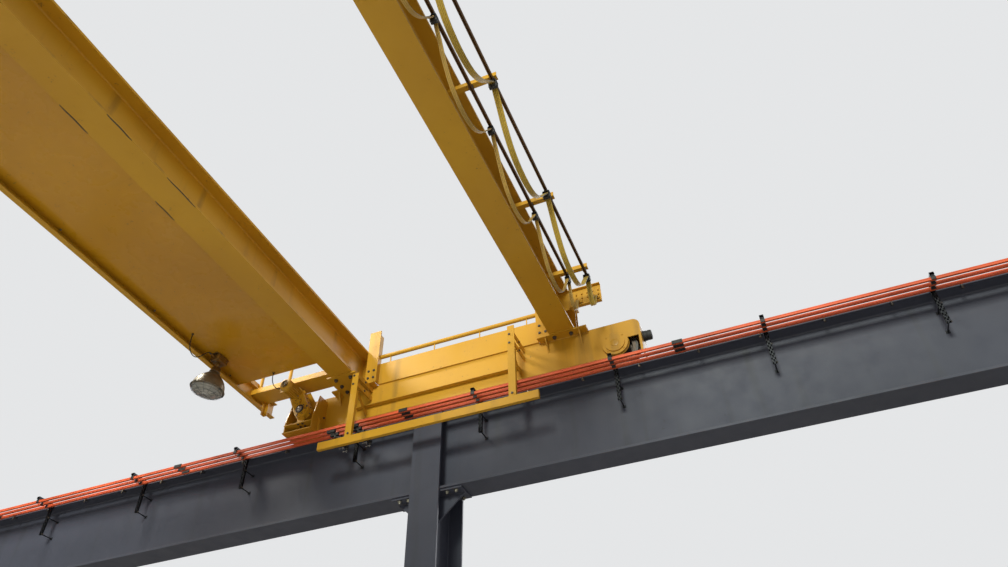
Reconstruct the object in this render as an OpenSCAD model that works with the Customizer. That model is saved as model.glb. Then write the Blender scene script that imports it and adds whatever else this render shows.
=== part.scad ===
// Top running double girder bridge crane on its own runway.
// X runs along the bridge, Y along the runway, Z up, with the floor at zero.

/* [Runway] */
// Distance between the centre lines of the two runway rails
span = 12000; // [11000:100:13000]
// Distance between neighbouring columns of a row
bay = 7600; // [7000:100:8400]
// Height of the top of the runway rails over the floor
rail_top = 6315; // [5600:5:7400]
// Distance of the crane from the middle columns, along the runway
crane_y = -300; // [-900:10:900]

/* [Columns] */
// Depth of a column, across the runway
column_depth = 600; // [570:5:700]
// Width of a column's flanges
column_width = 330; // [300:5:400]
// Thickness of a column's flanges
column_flange = 22; // [18:1:24]
// Thickness of a column's web
column_web = 14; // [10:1:20]
// Distance of the column's centre line outside the rail's
column_offset = 120; // [112:1:124]
// Length of the base plate, across the runway
base_length = 840; // [820:10:900]
// Width of the base plate
base_width = 420; // [400:10:500]
// Thickness of the base plate
base_thick = 40; // [30:1:60]
// Distance between the anchor holes across the runway
anchor_x = 720; // [720:5:740]
// Distance between the anchor holes along the runway
anchor_y = 260; // [200:5:300]
// Diameter of the anchor holes
anchor_hole = 34; // [26:1:40]

/* [Runway beams] */
// Depth of a runway beam
beam_depth = 930; // [850:10:1000]
// Width of a runway beam's flanges
beam_width = 305; // [285:1:305]
// Thickness of a runway beam's flanges
beam_flange = 25; // [20:1:32]
// Thickness of a runway beam's web
beam_web = 16; // [12:1:22]
// Length of the seat under each beam end
seat_length = 230; // [180:5:320]
// Depth of the gusset under a seat
seat_drop = 340; // [250:5:450]
// Thickness of seat plates and gussets
seat_thick = 20; // [14:1:26]
// Height of the runway rail
rail_height = 100; // [90:1:120]
// Width of the runway rail's head
rail_head = 54; // [48:1:58]
// Width of the runway rail's foot
rail_foot = 104; // [90:1:130]
// Distance of the face of an end stop from the end of the rail
stop_back = 240; // [210:5:320]
// Height of an end stop over the beam
stop_height = 480; // [465:5:500]

/* [Conductor bars] */
// Distance between neighbouring conductor bars
bar_pitch = 72; // [66:1:74]
// Width of a conductor bar
bar_width = 24; // [18:1:28]
// Height of a conductor bar
bar_height = 34; // [28:1:38]
// Distance between the bars' brackets
bracket_pitch = 1500; // [1300:10:1540]
// Distance of the first bracket north of the middle columns
bracket_shift = 880; // [300:10:1100]
// Size of the perforated strut of the brackets
strut = 41; // [38:1:43]
// Length of the upright strut of a bracket
strut_drop = 480; // [400:10:560]
// Distance between the joints of the conductor bars
joint_pitch = 3000; // [2600:50:3400]
// Length of the cover over a joint
joint_length = 130; // [90:5:180]

/* [Girders] */
// Distance between the centre lines of the two girders
girder_gauge = 2600; // [2500:10:2800]
// Depth of a girder
girder_depth = 480; // [440:5:520]
// Width of a girder's flanges
girder_width = 286; // [270:1:300]
// Thickness of a girder's flanges
girder_flange = 27; // [20:1:32]
// Thickness of a girder's web
girder_web = 17; // [12:1:22]
// Length of a girder beyond the rail's centre line
girder_over = 75; // [50:1:110]
// Width and height of the trolley rail bar
trolley_bar = 40; // [30:1:50]

/* [End trucks] */
// Distance between the wheel centres of an end truck
wheelbase = 3700; // [3640:10:3800]
// Length of an end truck beyond its wheel centres
truck_over = 280; // [275:1:320]
// Width of an end truck over its side plates
truck_width = 260; // [240:1:280]
// Depth of an end truck
truck_depth = 420; // [405:1:440]
// Thickness of the plates of an end truck
truck_plate = 12; // [8:1:16]
// Radius of the rounded top corners of an end truck
truck_round = 80; // [50:1:110]
// Diameter of a wheel's tread
wheel_d = 400; // [380:1:410]
// Diameter of a wheel's flanges
wheel_flange_d = 450; // [444:1:454]
// Width of the tread between the flanges
wheel_tread = 70; // [66:1:80]
// Thickness of one wheel flange
wheel_rim = 20; // [16:1:24]
// Diameter of the wheel axles
axle_d = 70; // [60:1:80]
// Diameter of the bearing bosses
boss_d = 280; // [260:1:282]
// Length of a bearing boss in front of its side plate
boss_out = 48; // [40:1:52]
// Length of a rubber bumper
bumper_length = 90; // [60:1:110]
// Diameter of a rubber bumper
bumper_d = 100; // [80:1:120]
// Width of the pad that a girder is bolted to
pad_width = 560; // [520:10:600]
// Length of the pad in front of the end truck
pad_out = 110; // [90:1:114]
// Thickness of the pad
pad_thick = 20; // [14:1:24]

/* [End ties] */
// Height of the plate between the girders at each end
tie_height = 295; // [250:5:330]
// Thickness of that plate
tie_thick = 12; // [8:1:16]
// Diameter of the pipe over the plate
pipe_d = 50; // [40:1:60]
// Height of the pipe over the plate
pipe_gap = 105; // [80:1:130]
// Width of the trolley stop posts
post_width = 150; // [120:1:170]
// Height of the trolley stop posts over the girders
post_over = 280; // [240:5:320]

/* [Footwalk] */
// Width of the walk from the girder's centre line to its outer edge
walk_width = 1300; // [1200:10:1400]
// Height of the walk plate's underside over the bottom of the girder
walk_lift = 80; // [60:1:110]
// Thickness of the walk plate
walk_plate = 8; // [6:1:12]
// Distance of the ends of the plate from the rail's centre line
walk_short = 700; // [690:5:760]
// Depth of the outer channel of the walk
channel_depth = 200; // [180:1:220]
// Width of the outer channel's flanges
channel_width = 62; // [50:1:72]
// Thickness of the outer channel
channel_thick = 10; // [8:1:14]
// Height of the handrail over the walk plate
rail_guard = 1070; // [1000:5:1150]
// Diameter of the handrail's tubes
guard_tube = 42; // [34:1:48]
// Length of the handrail over the end beams
guard_return = 420; // [300:10:600]
// Distance between the handrail's posts
guard_pitch = 1450; // [1200:10:1500]
// Width of the cross beam at each end of the walk
cross_width = 245; // [220:1:250]
// Depth of that cross beam
cross_depth = 70; // [60:1:90]

/* [Drives] */
// Distance of the gearbox face from the rail's centre line
drive_in = 400; // [380:1:420]
// Thickness of the gearbox along the axle
gearbox_thick = 120; // [100:1:140]
// Radius of the gearbox round its output shaft
gearbox_r = 95; // [85:1:105]
// Height of the motor's shaft over the wheel's axle
motor_up = 255; // [240:1:270]
// Distance of the motor's shaft beyond the wheel's axle
motor_side = 120; // [100:1:150]
// Diameter of the motor
motor_d = 150; // [120:1:170]
// Length of the motor in front of the gearbox
motor_length = 230; // [180:5:280]

/* [Collectors] */
// Distance of the collector frame's centre from the rail's centre line
frame_in = 455; // [452:1:480]
// Height of the collector frame's tube under the rail's top
frame_down = 408; // [395:1:430]
// Height of the tube's section
frame_tube = 90; // [70:1:100]
// Width of the posts and thickness of the tube
frame_bar = 40; // [34:1:44]
// Clearance between a collector shoe and its bar
shoe_gap = 5; // [4:0.5:8]

/* [Festoon] */
// Distance of the inner track from the girder's centre line
track_in = 255; // [240:1:275]
// Distance between the two tracks
track_pitch = 195; // [180:1:200]
// Distance of the tracks' top under the girder's top
track_down = 150; // [140:1:160]
// Width of a track
track_width = 28; // [26:1:36]
// Height of a track
track_height = 28; // [26:1:34]
// Distance between the arms that carry the tracks
arm_pitch = 1420; // [1300:10:1460]
// Distance of the first arm from the rail's centre line
arm_in = 1800; // [1600:10:1900]
// Distance of the last arm from the rail's centre line
arm_last = 735; // [700:5:780]
// Drop of the cables' saddles under the tracks
saddle_drop = 52; // [46:1:60]
// Distance of the tracks' ends from the rail's centre line
track_short = 625; // [600:5:640]
// Distance of the terminal plate from the rail's centre line
clamp_in = 330; // [300:5:360]
// Height of the terminal plate
clamp_height = 250; // [220:5:290]
// Width of the inner flat cable
cable_width = 36; // [30:1:40]
// Width of the outer flat cable
outer_width = 52; // [46:1:56]
// Thickness of both flat cables
cable_thick = 10; // [8:1:12]

/* [Work lights] */
// Distance of a light from the rail's centre line
lamp_in = 1230; // [1200:10:1400]
// Diameter of a light's rim
lamp_d = 376; // [340:4:400]
// Length of a light's ballast box
ballast_length = 300; // [290:5:310]
// Length of a light from its pivot to its lens
lamp_drop = 318; // [300:1:340]
// Angle that a light hangs askew, outwards
lamp_tilt = 10; // [0:1:16]
// Diameter of the leads
lead_d = 10; // [8:1:12]

/* [Trolley] */
// Distance of the trolley from the middle of the span
trolley_x = -2500; // [-2600:10:-2400]
// Distance between the trolley's axles
trolley_base = 1200; // [1100:10:1300]
// Diameter of the trolley's wheels
trolley_wheel = 200; // [180:1:220]
// Diameter of the hoist's drum
drum_d = 320; // [280:1:340]
// Diameter of the hoist rope
rope_d = 13; // [10:1:16]
// Height of the hook block's axle over the rail's top
block_over = 60; // [20:5:90]

/* [Hidden] */
run_gap = 0.3;      // gap under the wheels' treads
fit_gap = 0.1;      // radial clearance of the axles
side = [-1, 1];

beam_top = rail_top - rail_height;
beam_low = beam_top - beam_depth;
rail_x = span / 2;
column_x = rail_x + column_offset;
rail_half = bay + column_width / 2;
stop_y = rail_half - stop_back;

axle_z = rail_top + wheel_d / 2 + run_gap;
truck_half = wheelbase / 2 + truck_over;
truck_low = rail_top + 65;
truck_top = truck_low + truck_depth;
truck_in = rail_x - truck_width / 2;
notch_top = axle_z + 65;

girder_y = girder_gauge / 2;
girder_low = truck_top;
girder_top = girder_low + girder_depth;
girder_half = rail_x + girder_over;
pad_x = truck_in - pad_out;

tie_x = truck_in - tie_thick - 8;
post_x = pad_x + 40;
post_y = girder_y - girder_width / 2 - post_width / 2 - 2;
pipe_z = truck_top + tie_height + pipe_gap;

walk_low = girder_low + walk_lift;
walk_top = walk_low + walk_plate;
walk_out = girder_y + walk_width;
walk_half = rail_x - walk_short;
stringer_half = rail_x - 25;
cross_x = truck_in - 95 - cross_width;
guard_y = walk_out - channel_width / 2;
guard_x = cross_x + cross_width / 2;
guard_base = girder_low + channel_depth;
guard_top = walk_top + rail_guard;
guard_middle = guard_base + (guard_top - guard_base) * 0.52;

drive_x = rail_x - drive_in;
drive_y = wheelbase / 2;
gearbox_back = drive_x + gearbox_thick;

bar_z = rail_top - 150;
bar_x = rail_x - 308;
bar_half = bay + 20;
bracket_first = bracket_shift - bracket_pitch * floor((bay - column_width + bracket_shift) / bracket_pitch);
bracket_places = [for (y = [bracket_first:bracket_pitch:bay - column_width])
    if (abs(y) > column_width / 2 + strut) y];
joint_first = -crane_y - 100 - joint_pitch * floor(bay / joint_pitch);
joint_places = [for (y = [joint_first:joint_pitch:bay - 200]) y];
strut_x = rail_x - beam_width / 2 - 6 - strut;
arm_z = bar_z + bar_height / 2 + 18;

frame_x = rail_x - frame_in;
frame_z = rail_top - frame_down;
frame_south = -800;
frame_north = 1110;
frame_ends = [-1080, 1480];
shoe_places = [1000, 1290];

track_y = [-girder_y - track_in, -girder_y - track_in - track_pitch];
track_top = girder_top - track_down;
track_low = track_top - track_height;
track_half = rail_x - track_short;
cable_widths = [cable_width, outer_width];
arm_ends = rail_x - arm_last;
arm_places = [-arm_ends, for (x = [rail_x - arm_in:-arm_pitch:-arm_ends + 200]) x, arm_ends];
clamp_x = rail_x - clamp_in;
clamp_top = girder_top - girder_flange - girder_web - 1;

trolley_z = girder_top + trolley_bar + trolley_wheel / 2;
trolley_frame_z = trolley_z + 30;
drum_z = trolley_frame_z + 250;
drum_half = 600;
block_z = rail_top + block_over;
trunnion_low = 280;

// Route of one festoon loop as shares of its span and as drops under the saddle, chosen by hand
loop_share = [0.04, 0.10, 0.18, 0.32, 0.50, 0.68, 0.82, 0.90, 0.96];
loop_drop = [30, 130, 270, 420, 470, 420, 270, 130, 30];
clamp_path = [[-30.3, -15], [-50, -17], [-70, -28], [-88, -60], [-104, -110], [-122, -170], [-146, -220]];
first_path = [[104, -222], [76, -176], [58, -110], [46, -50]];
tow_path = [[24, -8], [12, 0], [0.3, 0]];
inner_stops = [5290, 4300, 3210, 2080, 1090, 100, -860];
outer_stops = [5340, 4090, 2790, 1490, 390, -710];
cable_z = track_low - saddle_drop;
track_wall = 3;
track_slot = 5;
roller_d = 14;
tow_x = -1820;
inner_route = festoon_route(inner_stops, track_y[0]);
outer_route = festoon_route(outer_stops, track_y[1]);

// Leads of the east light and the east motor, from the walk plate to the piece that they feed
lamp_x = rail_x - lamp_in;
lamp_y = walk_out - 150;
lamp_path = [
    [-470, -15], [-470, -45], [-470, -80], [-466, -125], [-455, -170], [-435, -205], [-405, -228], [-370, -235],
    [-335, -225], [-305, -202], [-275, -170], [-245, -130], [-218, -92], [-195, -65], [-178, -53], [-168, -50],
    [-160, -50]
];
lamp_lead = [for (p = lamp_path) [lamp_x + p[0], lamp_y, walk_low + p[1]]];
motor_path = [
    [-350, 95], [-350, 75], [-350, 45], [-344, 10], [-328, -20], [-302, -42], [-268, -50], [-234, -46],
    [-206, -32], [-186, -15], [-172, -4], [-162, 0], [-153, 0]
];
motor_lead = [for (p = motor_path)
    [drive_x + p[0], drive_y + motor_side + motor_d / 2 + 17, axle_z + motor_up + p[1]]];

paint = "goldenrod";
steel = "dimgray";
slate = "slategray";

// Points of a festoon cable from its end clamp over each carrier to the trolley's tow arm
function festoon_route(stops, y) = concat(
    [for (p = clamp_path) [clamp_x + p[0], y, cable_z + p[1]]],
    [[(clamp_x + stops[0]) / 2 - 22, y, cable_z - 248]],
    [for (p = first_path) [stops[0] + p[0], y, cable_z + p[1]]],
    [for (i = [0:len(stops) - 1]) each concat(
        [[stops[i] + 34, y, cable_z - 6], [stops[i], y, cable_z], [stops[i] - 34, y, cable_z - 6]],
        let (next = i < len(stops) - 1 ? stops[i + 1] : tow_x)
        [for (k = [0:len(loop_share) - 1])
            [stops[i] + (next - stops[i]) * loop_share[k], y, cable_z - loop_drop[k]]]
    )],
    [for (p = tow_path) [tow_x + p[0], y, cable_z + p[1]]]
);

function unit(v) = v / norm(v);

// Size at one point of a route, of a list or of one number
function size_at(v, i) = is_list(v) ? v[i] : v;

// Ring of a swept piece at one point of its route, w wide along Y and t thick
function cord_ring(route, i, w, t, sides) =
    let (
        a = route[max(i - 1, 0)],
        b = route[min(i + 1, len(route) - 1)],
        along = unit(b - a),
        across = abs(along[1]) > 0.9 ? [1, 0, 0] : unit([0, 1, 0] - along * along[1]),
        up = cross(along, across)
    )
    [for (k = [0:sides - 1])
        route[i] + across * cos(360 * k / sides) * size_at(w, i) / 2
                 + up * sin(360 * k / sides) * size_at(t, i) / 2];

// Closed piece swept along a route
module cord(route, w, t, sides = 8) {
    rings = len(route);
    last = rings - 1;
    points = [for (i = [0:last]) each cord_ring(route, i, w, t, sides)];
    walls = [for (i = [0:last - 1]) for (k = [0:sides - 1])
        let (n = (k + 1) % sides)
        [i * sides + k, i * sides + n, (i + 1) * sides + n, (i + 1) * sides + k]];
    caps = [[for (k = [sides - 1:-1:0]) k], [for (k = [0:sides - 1]) last * sides + k]];
    polyhedron(points, concat(walls, caps));
}

// Outline of a rolled I section, centred across and standing on zero, with root fillets as large as its web
module i_outline(depth, width, flange, web) {
    for (z = [0, depth - flange]) translate([-width / 2, z]) square([width, flange]);
    translate([-web / 2, 0]) square([web, depth]);
    for (s = side) for (up = side)
        translate([s * web / 2, up > 0 ? flange : depth - flange]) scale([s, up]) difference() {
            square(web);
            translate([web, web]) circle(web);
        }
}

// I section of a length along X, standing on z = 0 and centred on the origin
module i_along_x(length, depth, width, flange, web) {
    rotate([90, 0, 90]) linear_extrude(length, center = true) i_outline(depth, width, flange, web);
}

module i_along_y(length, depth, width, flange, web) {
    rotate([90, 0, 0]) linear_extrude(length, center = true) i_outline(depth, width, flange, web);
}

// Box given by its lowest and highest corners
module block(low, high) {
    translate(low) cube(high - low);
}

module x_cylinder(x0, x1, d) {
    translate([x0, 0, 0]) rotate([0, 90, 0]) cylinder(h = x1 - x0, d = d);
}

module y_cylinder(y0, y1, d) {
    translate([0, y0, 0]) rotate([-90, 0, 0]) cylinder(h = y1 - y0, d = d);
}

// Triangular plate in the XZ plane with its right angle at the origin
module gusset(run, drop, thick) {
    translate([0, thick / 2, 0]) rotate([90, 0, 0])
        linear_extrude(thick) polygon([[0, 0], [run, 0], [0, -drop]]);
}

// The same part on both ends of the bridge
module at_end(east) {
    if (east) children();
    else mirror([1, 0, 0]) children();
}

module at_both_ends() {
    for (east = [true, false]) at_end(east) children();
}

module on_bridge() {
    translate([0, crane_y, 0]) children();
}

// Base plates of the columns, with their anchor holes
module base_plates() {
    color(slate) for (sx = side) for (row = [-1:1]) translate([sx * column_x, row * bay, 0]) difference() {
        block([-base_length / 2, -base_width / 2, 0], [base_length / 2, base_width / 2, base_thick]);
        for (i = side, j = side)
            translate([i * anchor_x / 2, j * anchor_y / 2, -1]) cylinder(h = base_thick + 2, d = anchor_hole);
    }
}

// Column with the seats of the beams that end at it
module column(side_x, row) {
    seats = row == 0 ? side : [-row];
    color(slate) translate([side_x * column_x, row * bay, 0]) {
        translate([0, 0, base_thick])
            linear_extrude(beam_top - base_thick) rotate(90)
                translate([0, -column_depth / 2]) i_outline(column_depth, column_width, column_flange, column_web);
        for (s = seats) scale([1, s, 1]) beam_seat(-side_x * column_offset);
    }
}

// Shelf and gusset on a column that one beam end rests on
module beam_seat(x) {
    wide = beam_width - 40;
    reach = column_width / 2 + seat_length;
    block([x - wide / 2, column_web / 2, beam_low - seat_thick], [x + wide / 2, reach, beam_low]);
    translate([x, column_web / 2, beam_low - seat_thick]) rotate(90)
        gusset(reach - column_web / 2 - 20, seat_drop, seat_thick);
}

// The two beams of a row with their web stiffeners
module runway_beams(side_x) {
    gap = column_web / 2 + 3;
    color(slate) translate([side_x * rail_x, 0, beam_low]) for (s = side) scale([1, s, 1]) {
        translate([0, bay / 2, 0]) i_along_y(bay - 2 * gap, beam_depth, beam_width, beam_flange, beam_web);
        for (y = [bay * 0.25, bay * 0.5, bay * 0.75]) for (t = side)
            scale([t, 1, 1]) block([beam_web / 2, y - 5, beam_flange],
                                   [beam_width / 2 - 12, y + 5, beam_depth - beam_flange]);
    }
}

// Buffer stops that straddle the rails at their ends, of two cheeks and a face plate
module end_stops() {
    far = bay - column_web / 2 - 3;
    inner = rail_foot / 2 + 6;
    cheek = 16;
    low = stop_height * 0.45;
    color(slate) for (sx = side) for (sy = side) translate([sx * rail_x, 0, beam_top]) scale([1, sy, 1]) {
        for (t = side) scale([t, 1, 1]) translate([inner, stop_y, 0])
            rotate([90, 0, 90]) linear_extrude(cheek)
                polygon([[0, 0], [far - stop_y, 0], [far - stop_y, low], [60, stop_height], [0, stop_height]]);
        block([-inner - cheek, stop_y, rail_height + 20], [inner + cheek, stop_y + 20, stop_height]);
    }
}

// Rails over both beams of each row
module runway_rails() {
    half = [
        [rail_foot / 2, 0], [rail_foot / 2, 8], [9, 20], [9, rail_height - 34],
        [rail_head / 2, rail_height - 24], [rail_head / 2, rail_height - 4], [rail_head / 2 - 4, rail_height]
    ];
    last = len(half) - 1;
    outline = concat(half, [for (i = [last:-1:0]) [-half[i][0], half[i][1]]]);
    color(steel) for (sx = side) translate([sx * rail_x, 0, beam_top])
        rotate([90, 0, 0]) linear_extrude(2 * rail_half - 20, center = true) polygon(outline);
}

// Brackets of perforated strut along the runway that hold the conductor bars
module conductor_brackets() {
    web_x = rail_x - beam_web / 2;
    hanger = bar_width / 2 + 5;
    color(steel) for (y = bracket_places) translate([0, y - strut / 2, 0]) {
        difference() {
            union() {
                block([strut_x, 0, arm_z - strut_drop], [strut_x + strut, strut, arm_z + strut]);
                block([bar_x - bar_pitch - 24, 0, arm_z], [strut_x, strut, arm_z + strut]);
                for (z = [arm_z - strut_drop, arm_z - strut_drop * 0.35])
                    block([strut_x + strut, 4, z], [web_x, strut - 4, z + 30]);
            }
            for (z = [arm_z - 25:-60:arm_z - strut_drop + 20])
                translate([strut_x + strut / 2, 0, z]) y_cylinder(-1, strut + 1, 14);
        }
        for (k = [-1:1]) translate([bar_x + k * bar_pitch, 0, bar_z + bar_height / 2])
            block([-hanger, 5, 0], [hanger, strut - 5, arm_z - bar_z - bar_height / 2]);
    }
}

// Three insulated conductor bars, waisted along their sides and open along a slot below
module conductor_bars() {
    wide = bar_width / 2;
    high = bar_height / 2;
    waist = wide - 3;
    half = [
        [3, 12 - high], [3, -high], [wide - 2, -high], [wide, 2 - high], [wide, -5], [waist, -2], [waist, 3],
        [wide, 6], [wide, high - 4], [wide - 4, high]
    ];
    last = len(half) - 1;
    outline = concat(half, [for (i = [last:-1:0]) [-half[i][0], half[i][1]]]);
    color("orangered") for (k = [-1:1]) translate([bar_x + k * bar_pitch, 0, bar_z])
        rotate([90, 0, 0]) linear_extrude(2 * bar_half, center = true) polygon(outline);
}

// Covers over the joints of the conductor bars, open below where the shoes pass
module joint_covers() {
    wall = 5;
    inner = bar_width / 2 + 0.3;
    top = bar_height / 2 + 0.3;
    color("black") for (k = [-1:1]) for (y = joint_places)
        translate([bar_x + k * bar_pitch, y, bar_z]) rotate([90, 0, 0])
            linear_extrude(joint_length, center = true) difference() {
                translate([-inner - wall, -bar_height / 2])
                    square([2 * (inner + wall), bar_height / 2 + top + wall]);
                translate([-inner, -bar_height / 2 - 1]) square([2 * inner, bar_height / 2 + top + 1]);
            }
}

// Rolled beam of the bridge with its end and web stiffeners
module girder(y) {
    stiff_x = girder_half - 60;
    color(paint) translate([0, y, girder_low]) {
        i_along_x(2 * girder_half, girder_depth, girder_width, girder_flange, girder_web);
        for (x = [-stiff_x, -truck_in - 60, truck_in + 60, stiff_x]) for (t = side)
            scale([1, t, 1]) block([x - 6, girder_web / 2, girder_flange],
                                   [x + 6, girder_width / 2 - 10, girder_depth - girder_flange]);
    }
}

// Square rail bars that the trolley runs on
module trolley_rails() {
    stop_x = post_x - 60;
    color(steel) on_bridge() for (y = [-girder_y, girder_y])
        block([-stop_x, y - trolley_bar / 2, girder_top],
              [stop_x, y + trolley_bar / 2, girder_top + trolley_bar]);
}

// Side outline of an end truck, in Y and Z, grown inwards by a wall
module truck_outline(wall = 0) {
    half = truck_half - wall;
    high = truck_top - wall;
    round_r = truck_round - wall;
    low = truck_low - (wall > 0 ? 1 : 0);
    translate([-half, low]) square([2 * half, high - round_r - low]);
    translate([-half + round_r, low]) square([2 * (half - round_r), high - low]);
    for (s = side) translate([s * (half - round_r), high - round_r]) circle(round_r);
}

// End truck at the east end, of two side plates under a bent top plate
module truck_body() {
    web_cut = [drive_y, truck_half - truck_plate - 14];
    boss_x = truck_in - boss_out;
    out_x = rail_x + truck_width / 2;
    difference() {
        union() {
            for (x = [truck_in, out_x - truck_plate]) translate([x, 0, 0])
                rotate([90, 0, 90]) linear_extrude(truck_plate) difference() {
                    truck_outline();
                    for (s = side) scale([s, 1]) translate([web_cut[0], truck_low - 1])
                        square([web_cut[1] - web_cut[0], notch_top - truck_low + 1]);
                }
            translate([truck_in + truck_plate, 0, 0]) rotate([90, 0, 90])
                linear_extrude(truck_width - 2 * truck_plate) difference() {
                    truck_outline();
                    truck_outline(truck_plate);
                }
            for (s = side) translate([0, s * drive_y, axle_z]) {
                x_cylinder(boss_x + 14, truck_in + truck_plate, boss_d);
                x_cylinder(boss_x, boss_x + 14, boss_d - 70);
                x_cylinder(out_x - truck_plate, out_x + boss_out - 14, boss_d);
                x_cylinder(out_x + boss_out - 14, out_x + boss_out, boss_d - 70);
            }
        }
        for (s = side) translate([0, s * drive_y, axle_z])
            x_cylinder(boss_x - 1, out_x + boss_out + 1, axle_d + 2 * fit_gap);
    }
    for (y = [-girder_y, girder_y, -girder_y * 0.46, girder_y * 0.46])
        block([truck_in + truck_plate, y - 5, truck_low + 40],
              [out_x - truck_plate, y + 5, truck_top - truck_plate]);
    ledge_z = axle_z + 4;
    block([truck_in - 60, -girder_y * 0.6, ledge_z - 10], [truck_in, girder_y - 40, ledge_z]);
    for (s = side) scale([1, s, 1]) translate([rail_x, 0, axle_z + 120])
        y_cylinder(truck_half, truck_half + bumper_length, bumper_d);
}

// Pad on the truck's top edge with its gussets, under one girder
module girder_pad(y) {
    block([pad_x, y - pad_width / 2, truck_top - pad_thick], [truck_in, y + pad_width / 2, truck_top]);
    for (s = side)
        translate([truck_in, y + s * (girder_width / 2 + 50), truck_top - pad_thick]) scale([-1, 1, 1])
            gusset(pad_out - 12, 150, 12);
}

module end_truck(east) {
    sole = girder_width / 2 + 45;
    tongue = 260;
    color(paint) on_bridge() at_end(east) {
        truck_body();
        for (s = side) girder_pad(s * girder_y);
        block([pad_x - tongue, girder_y - sole, truck_top - pad_thick], [pad_x, girder_y + sole, truck_top]);
    }
}

// Plate between the girders, with the trolley stop posts and a pipe on short posts
module end_ties() {
    half = post_y - post_width / 2;
    stand_y = half * 0.29;
    color(paint) on_bridge() at_both_ends() {
        block([tie_x, -half, truck_top], [tie_x + tie_thick, half, truck_top + tie_height]);
        block([tie_x, -half, truck_top], [tie_x + 70, half, truck_top + 10]);
        for (s = side) scale([1, s, 1]) {
            block([post_x - 16, half, truck_top], [post_x, half + post_width, girder_top + post_over]);
            block([post_x, half, truck_top], [tie_x + tie_thick, half + 12, girder_top + post_over - 60]);
        }
        translate([tie_x + tie_thick / 2, 0, pipe_z]) y_cylinder(-half - 6, half + 6, pipe_d);
        for (y = [-3 * stand_y, -stand_y, stand_y, 3 * stand_y])
            block([tie_x, y - 6, truck_top + tie_height], [tie_x + tie_thick, y + 6, pipe_z]);
    }
}

// Double flanged wheel with its axle, which reaches a gearbox on the driven side
module wheel(side_x, side_y) {
    inner = side_y > 0 ? drive_x - 36 : truck_in - boss_out + 4;
    outer = rail_x + truck_width / 2 + boss_out - 4;
    tread = wheel_tread / 2;
    rim = tread + wheel_rim;
    half = [
        [axle_d / 2 - 1, rim + 4], [axle_d / 2 + 38, rim + 4], [axle_d / 2 + 42, 20], [wheel_d / 2 - 48, 14],
        [wheel_d / 2 - 40, rim - 6], [wheel_d / 2 - 36, rim], [wheel_flange_d / 2 - 6, rim],
        [wheel_flange_d / 2, rim - 6], [wheel_flange_d / 2, tread + 8], [wheel_flange_d / 2 - 6, tread + 4],
        [wheel_d / 2, tread]
    ];
    last = len(half) - 1;
    outline = concat(half, [for (i = [last:-1:0]) [half[i][0], -half[i][1]]]);
    color(steel) on_bridge() at_end(side_x > 0) translate([0, side_y * drive_y, axle_z]) {
        x_cylinder(inner, outer, axle_d);
        translate([rail_x, 0, 0]) rotate([0, 90, 0]) rotate_extrude() polygon(outline);
    }
}

// Walk plate beside the drive girder
module walk_deck() {
    color(paint) on_bridge()
        block([-walk_half, girder_y + girder_web / 2, walk_low],
              [walk_half, walk_out - channel_thick, walk_top]);
}

// Channel along the outer edge of the walk
module walk_channel() {
    color(paint) on_bridge() translate([0, walk_out, girder_low]) rotate([90, 0, 90])
        linear_extrude(2 * stringer_half, center = true) {
            translate([-channel_thick, 0]) square([channel_thick, channel_depth]);
            for (z = [0, channel_depth - channel_thick])
                translate([-channel_width, z]) square([channel_width, channel_thick]);
        }
}

// Ends of the walk, with their wide cross beams and corner legs
module walk_ends() {
    inner = girder_y + girder_web / 2;
    far = walk_out - channel_thick;
    beam_far = cross_x + cross_width;
    leg_y = walk_out - channel_width;
    leg_drop = channel_depth - 20;
    color(paint) on_bridge() at_both_ends() {
        block([cross_x, inner, walk_low], [beam_far, far, walk_top]);
        for (x = [cross_x, beam_far - walk_plate])
            block([x, inner, walk_low], [x + walk_plate, far, walk_low + cross_depth]);
        for (leg = [[12, 50], [60, 12]])
            block([beam_far - leg[0], leg_y - leg[1], walk_low - leg_drop], [beam_far, leg_y, walk_low]);
    }
}

// Handrail on the outer channel, with a top rail, a middle rail and a toe board
module handrail() {
    count = ceil(2 * guard_x / guard_pitch);
    color(paint) on_bridge() translate([0, guard_y, 0]) {
        for (i = [0:count]) translate([-guard_x + 2 * guard_x * i / count, 0, guard_base])
            cylinder(h = guard_top - guard_base, d = guard_tube);
        for (z = [guard_top, guard_middle]) translate([0, 0, z]) {
            x_cylinder(-guard_x, guard_x, guard_tube);
            for (s = side) translate([s * guard_x, 0, 0]) sphere(d = guard_tube);
        }
        block([-guard_x, guard_tube / 2 - 4, guard_base], [guard_x, guard_tube / 2 + 2, guard_base + 100]);
    }
}

// Short rails that turn in over the end beams
module handrail_ends() {
    from = guard_tube / 2 + run_gap;
    color(paint) on_bridge() at_both_ends() translate([guard_x, guard_y, 0]) {
        for (z = [guard_top, guard_middle]) translate([0, 0, z]) {
            y_cylinder(-guard_return, -from, guard_tube);
            translate([0, -guard_return, 0]) sphere(d = guard_tube);
        }
        translate([0, -guard_return, walk_top]) cylinder(h = guard_top - walk_top, d = guard_tube);
    }
}

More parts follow.
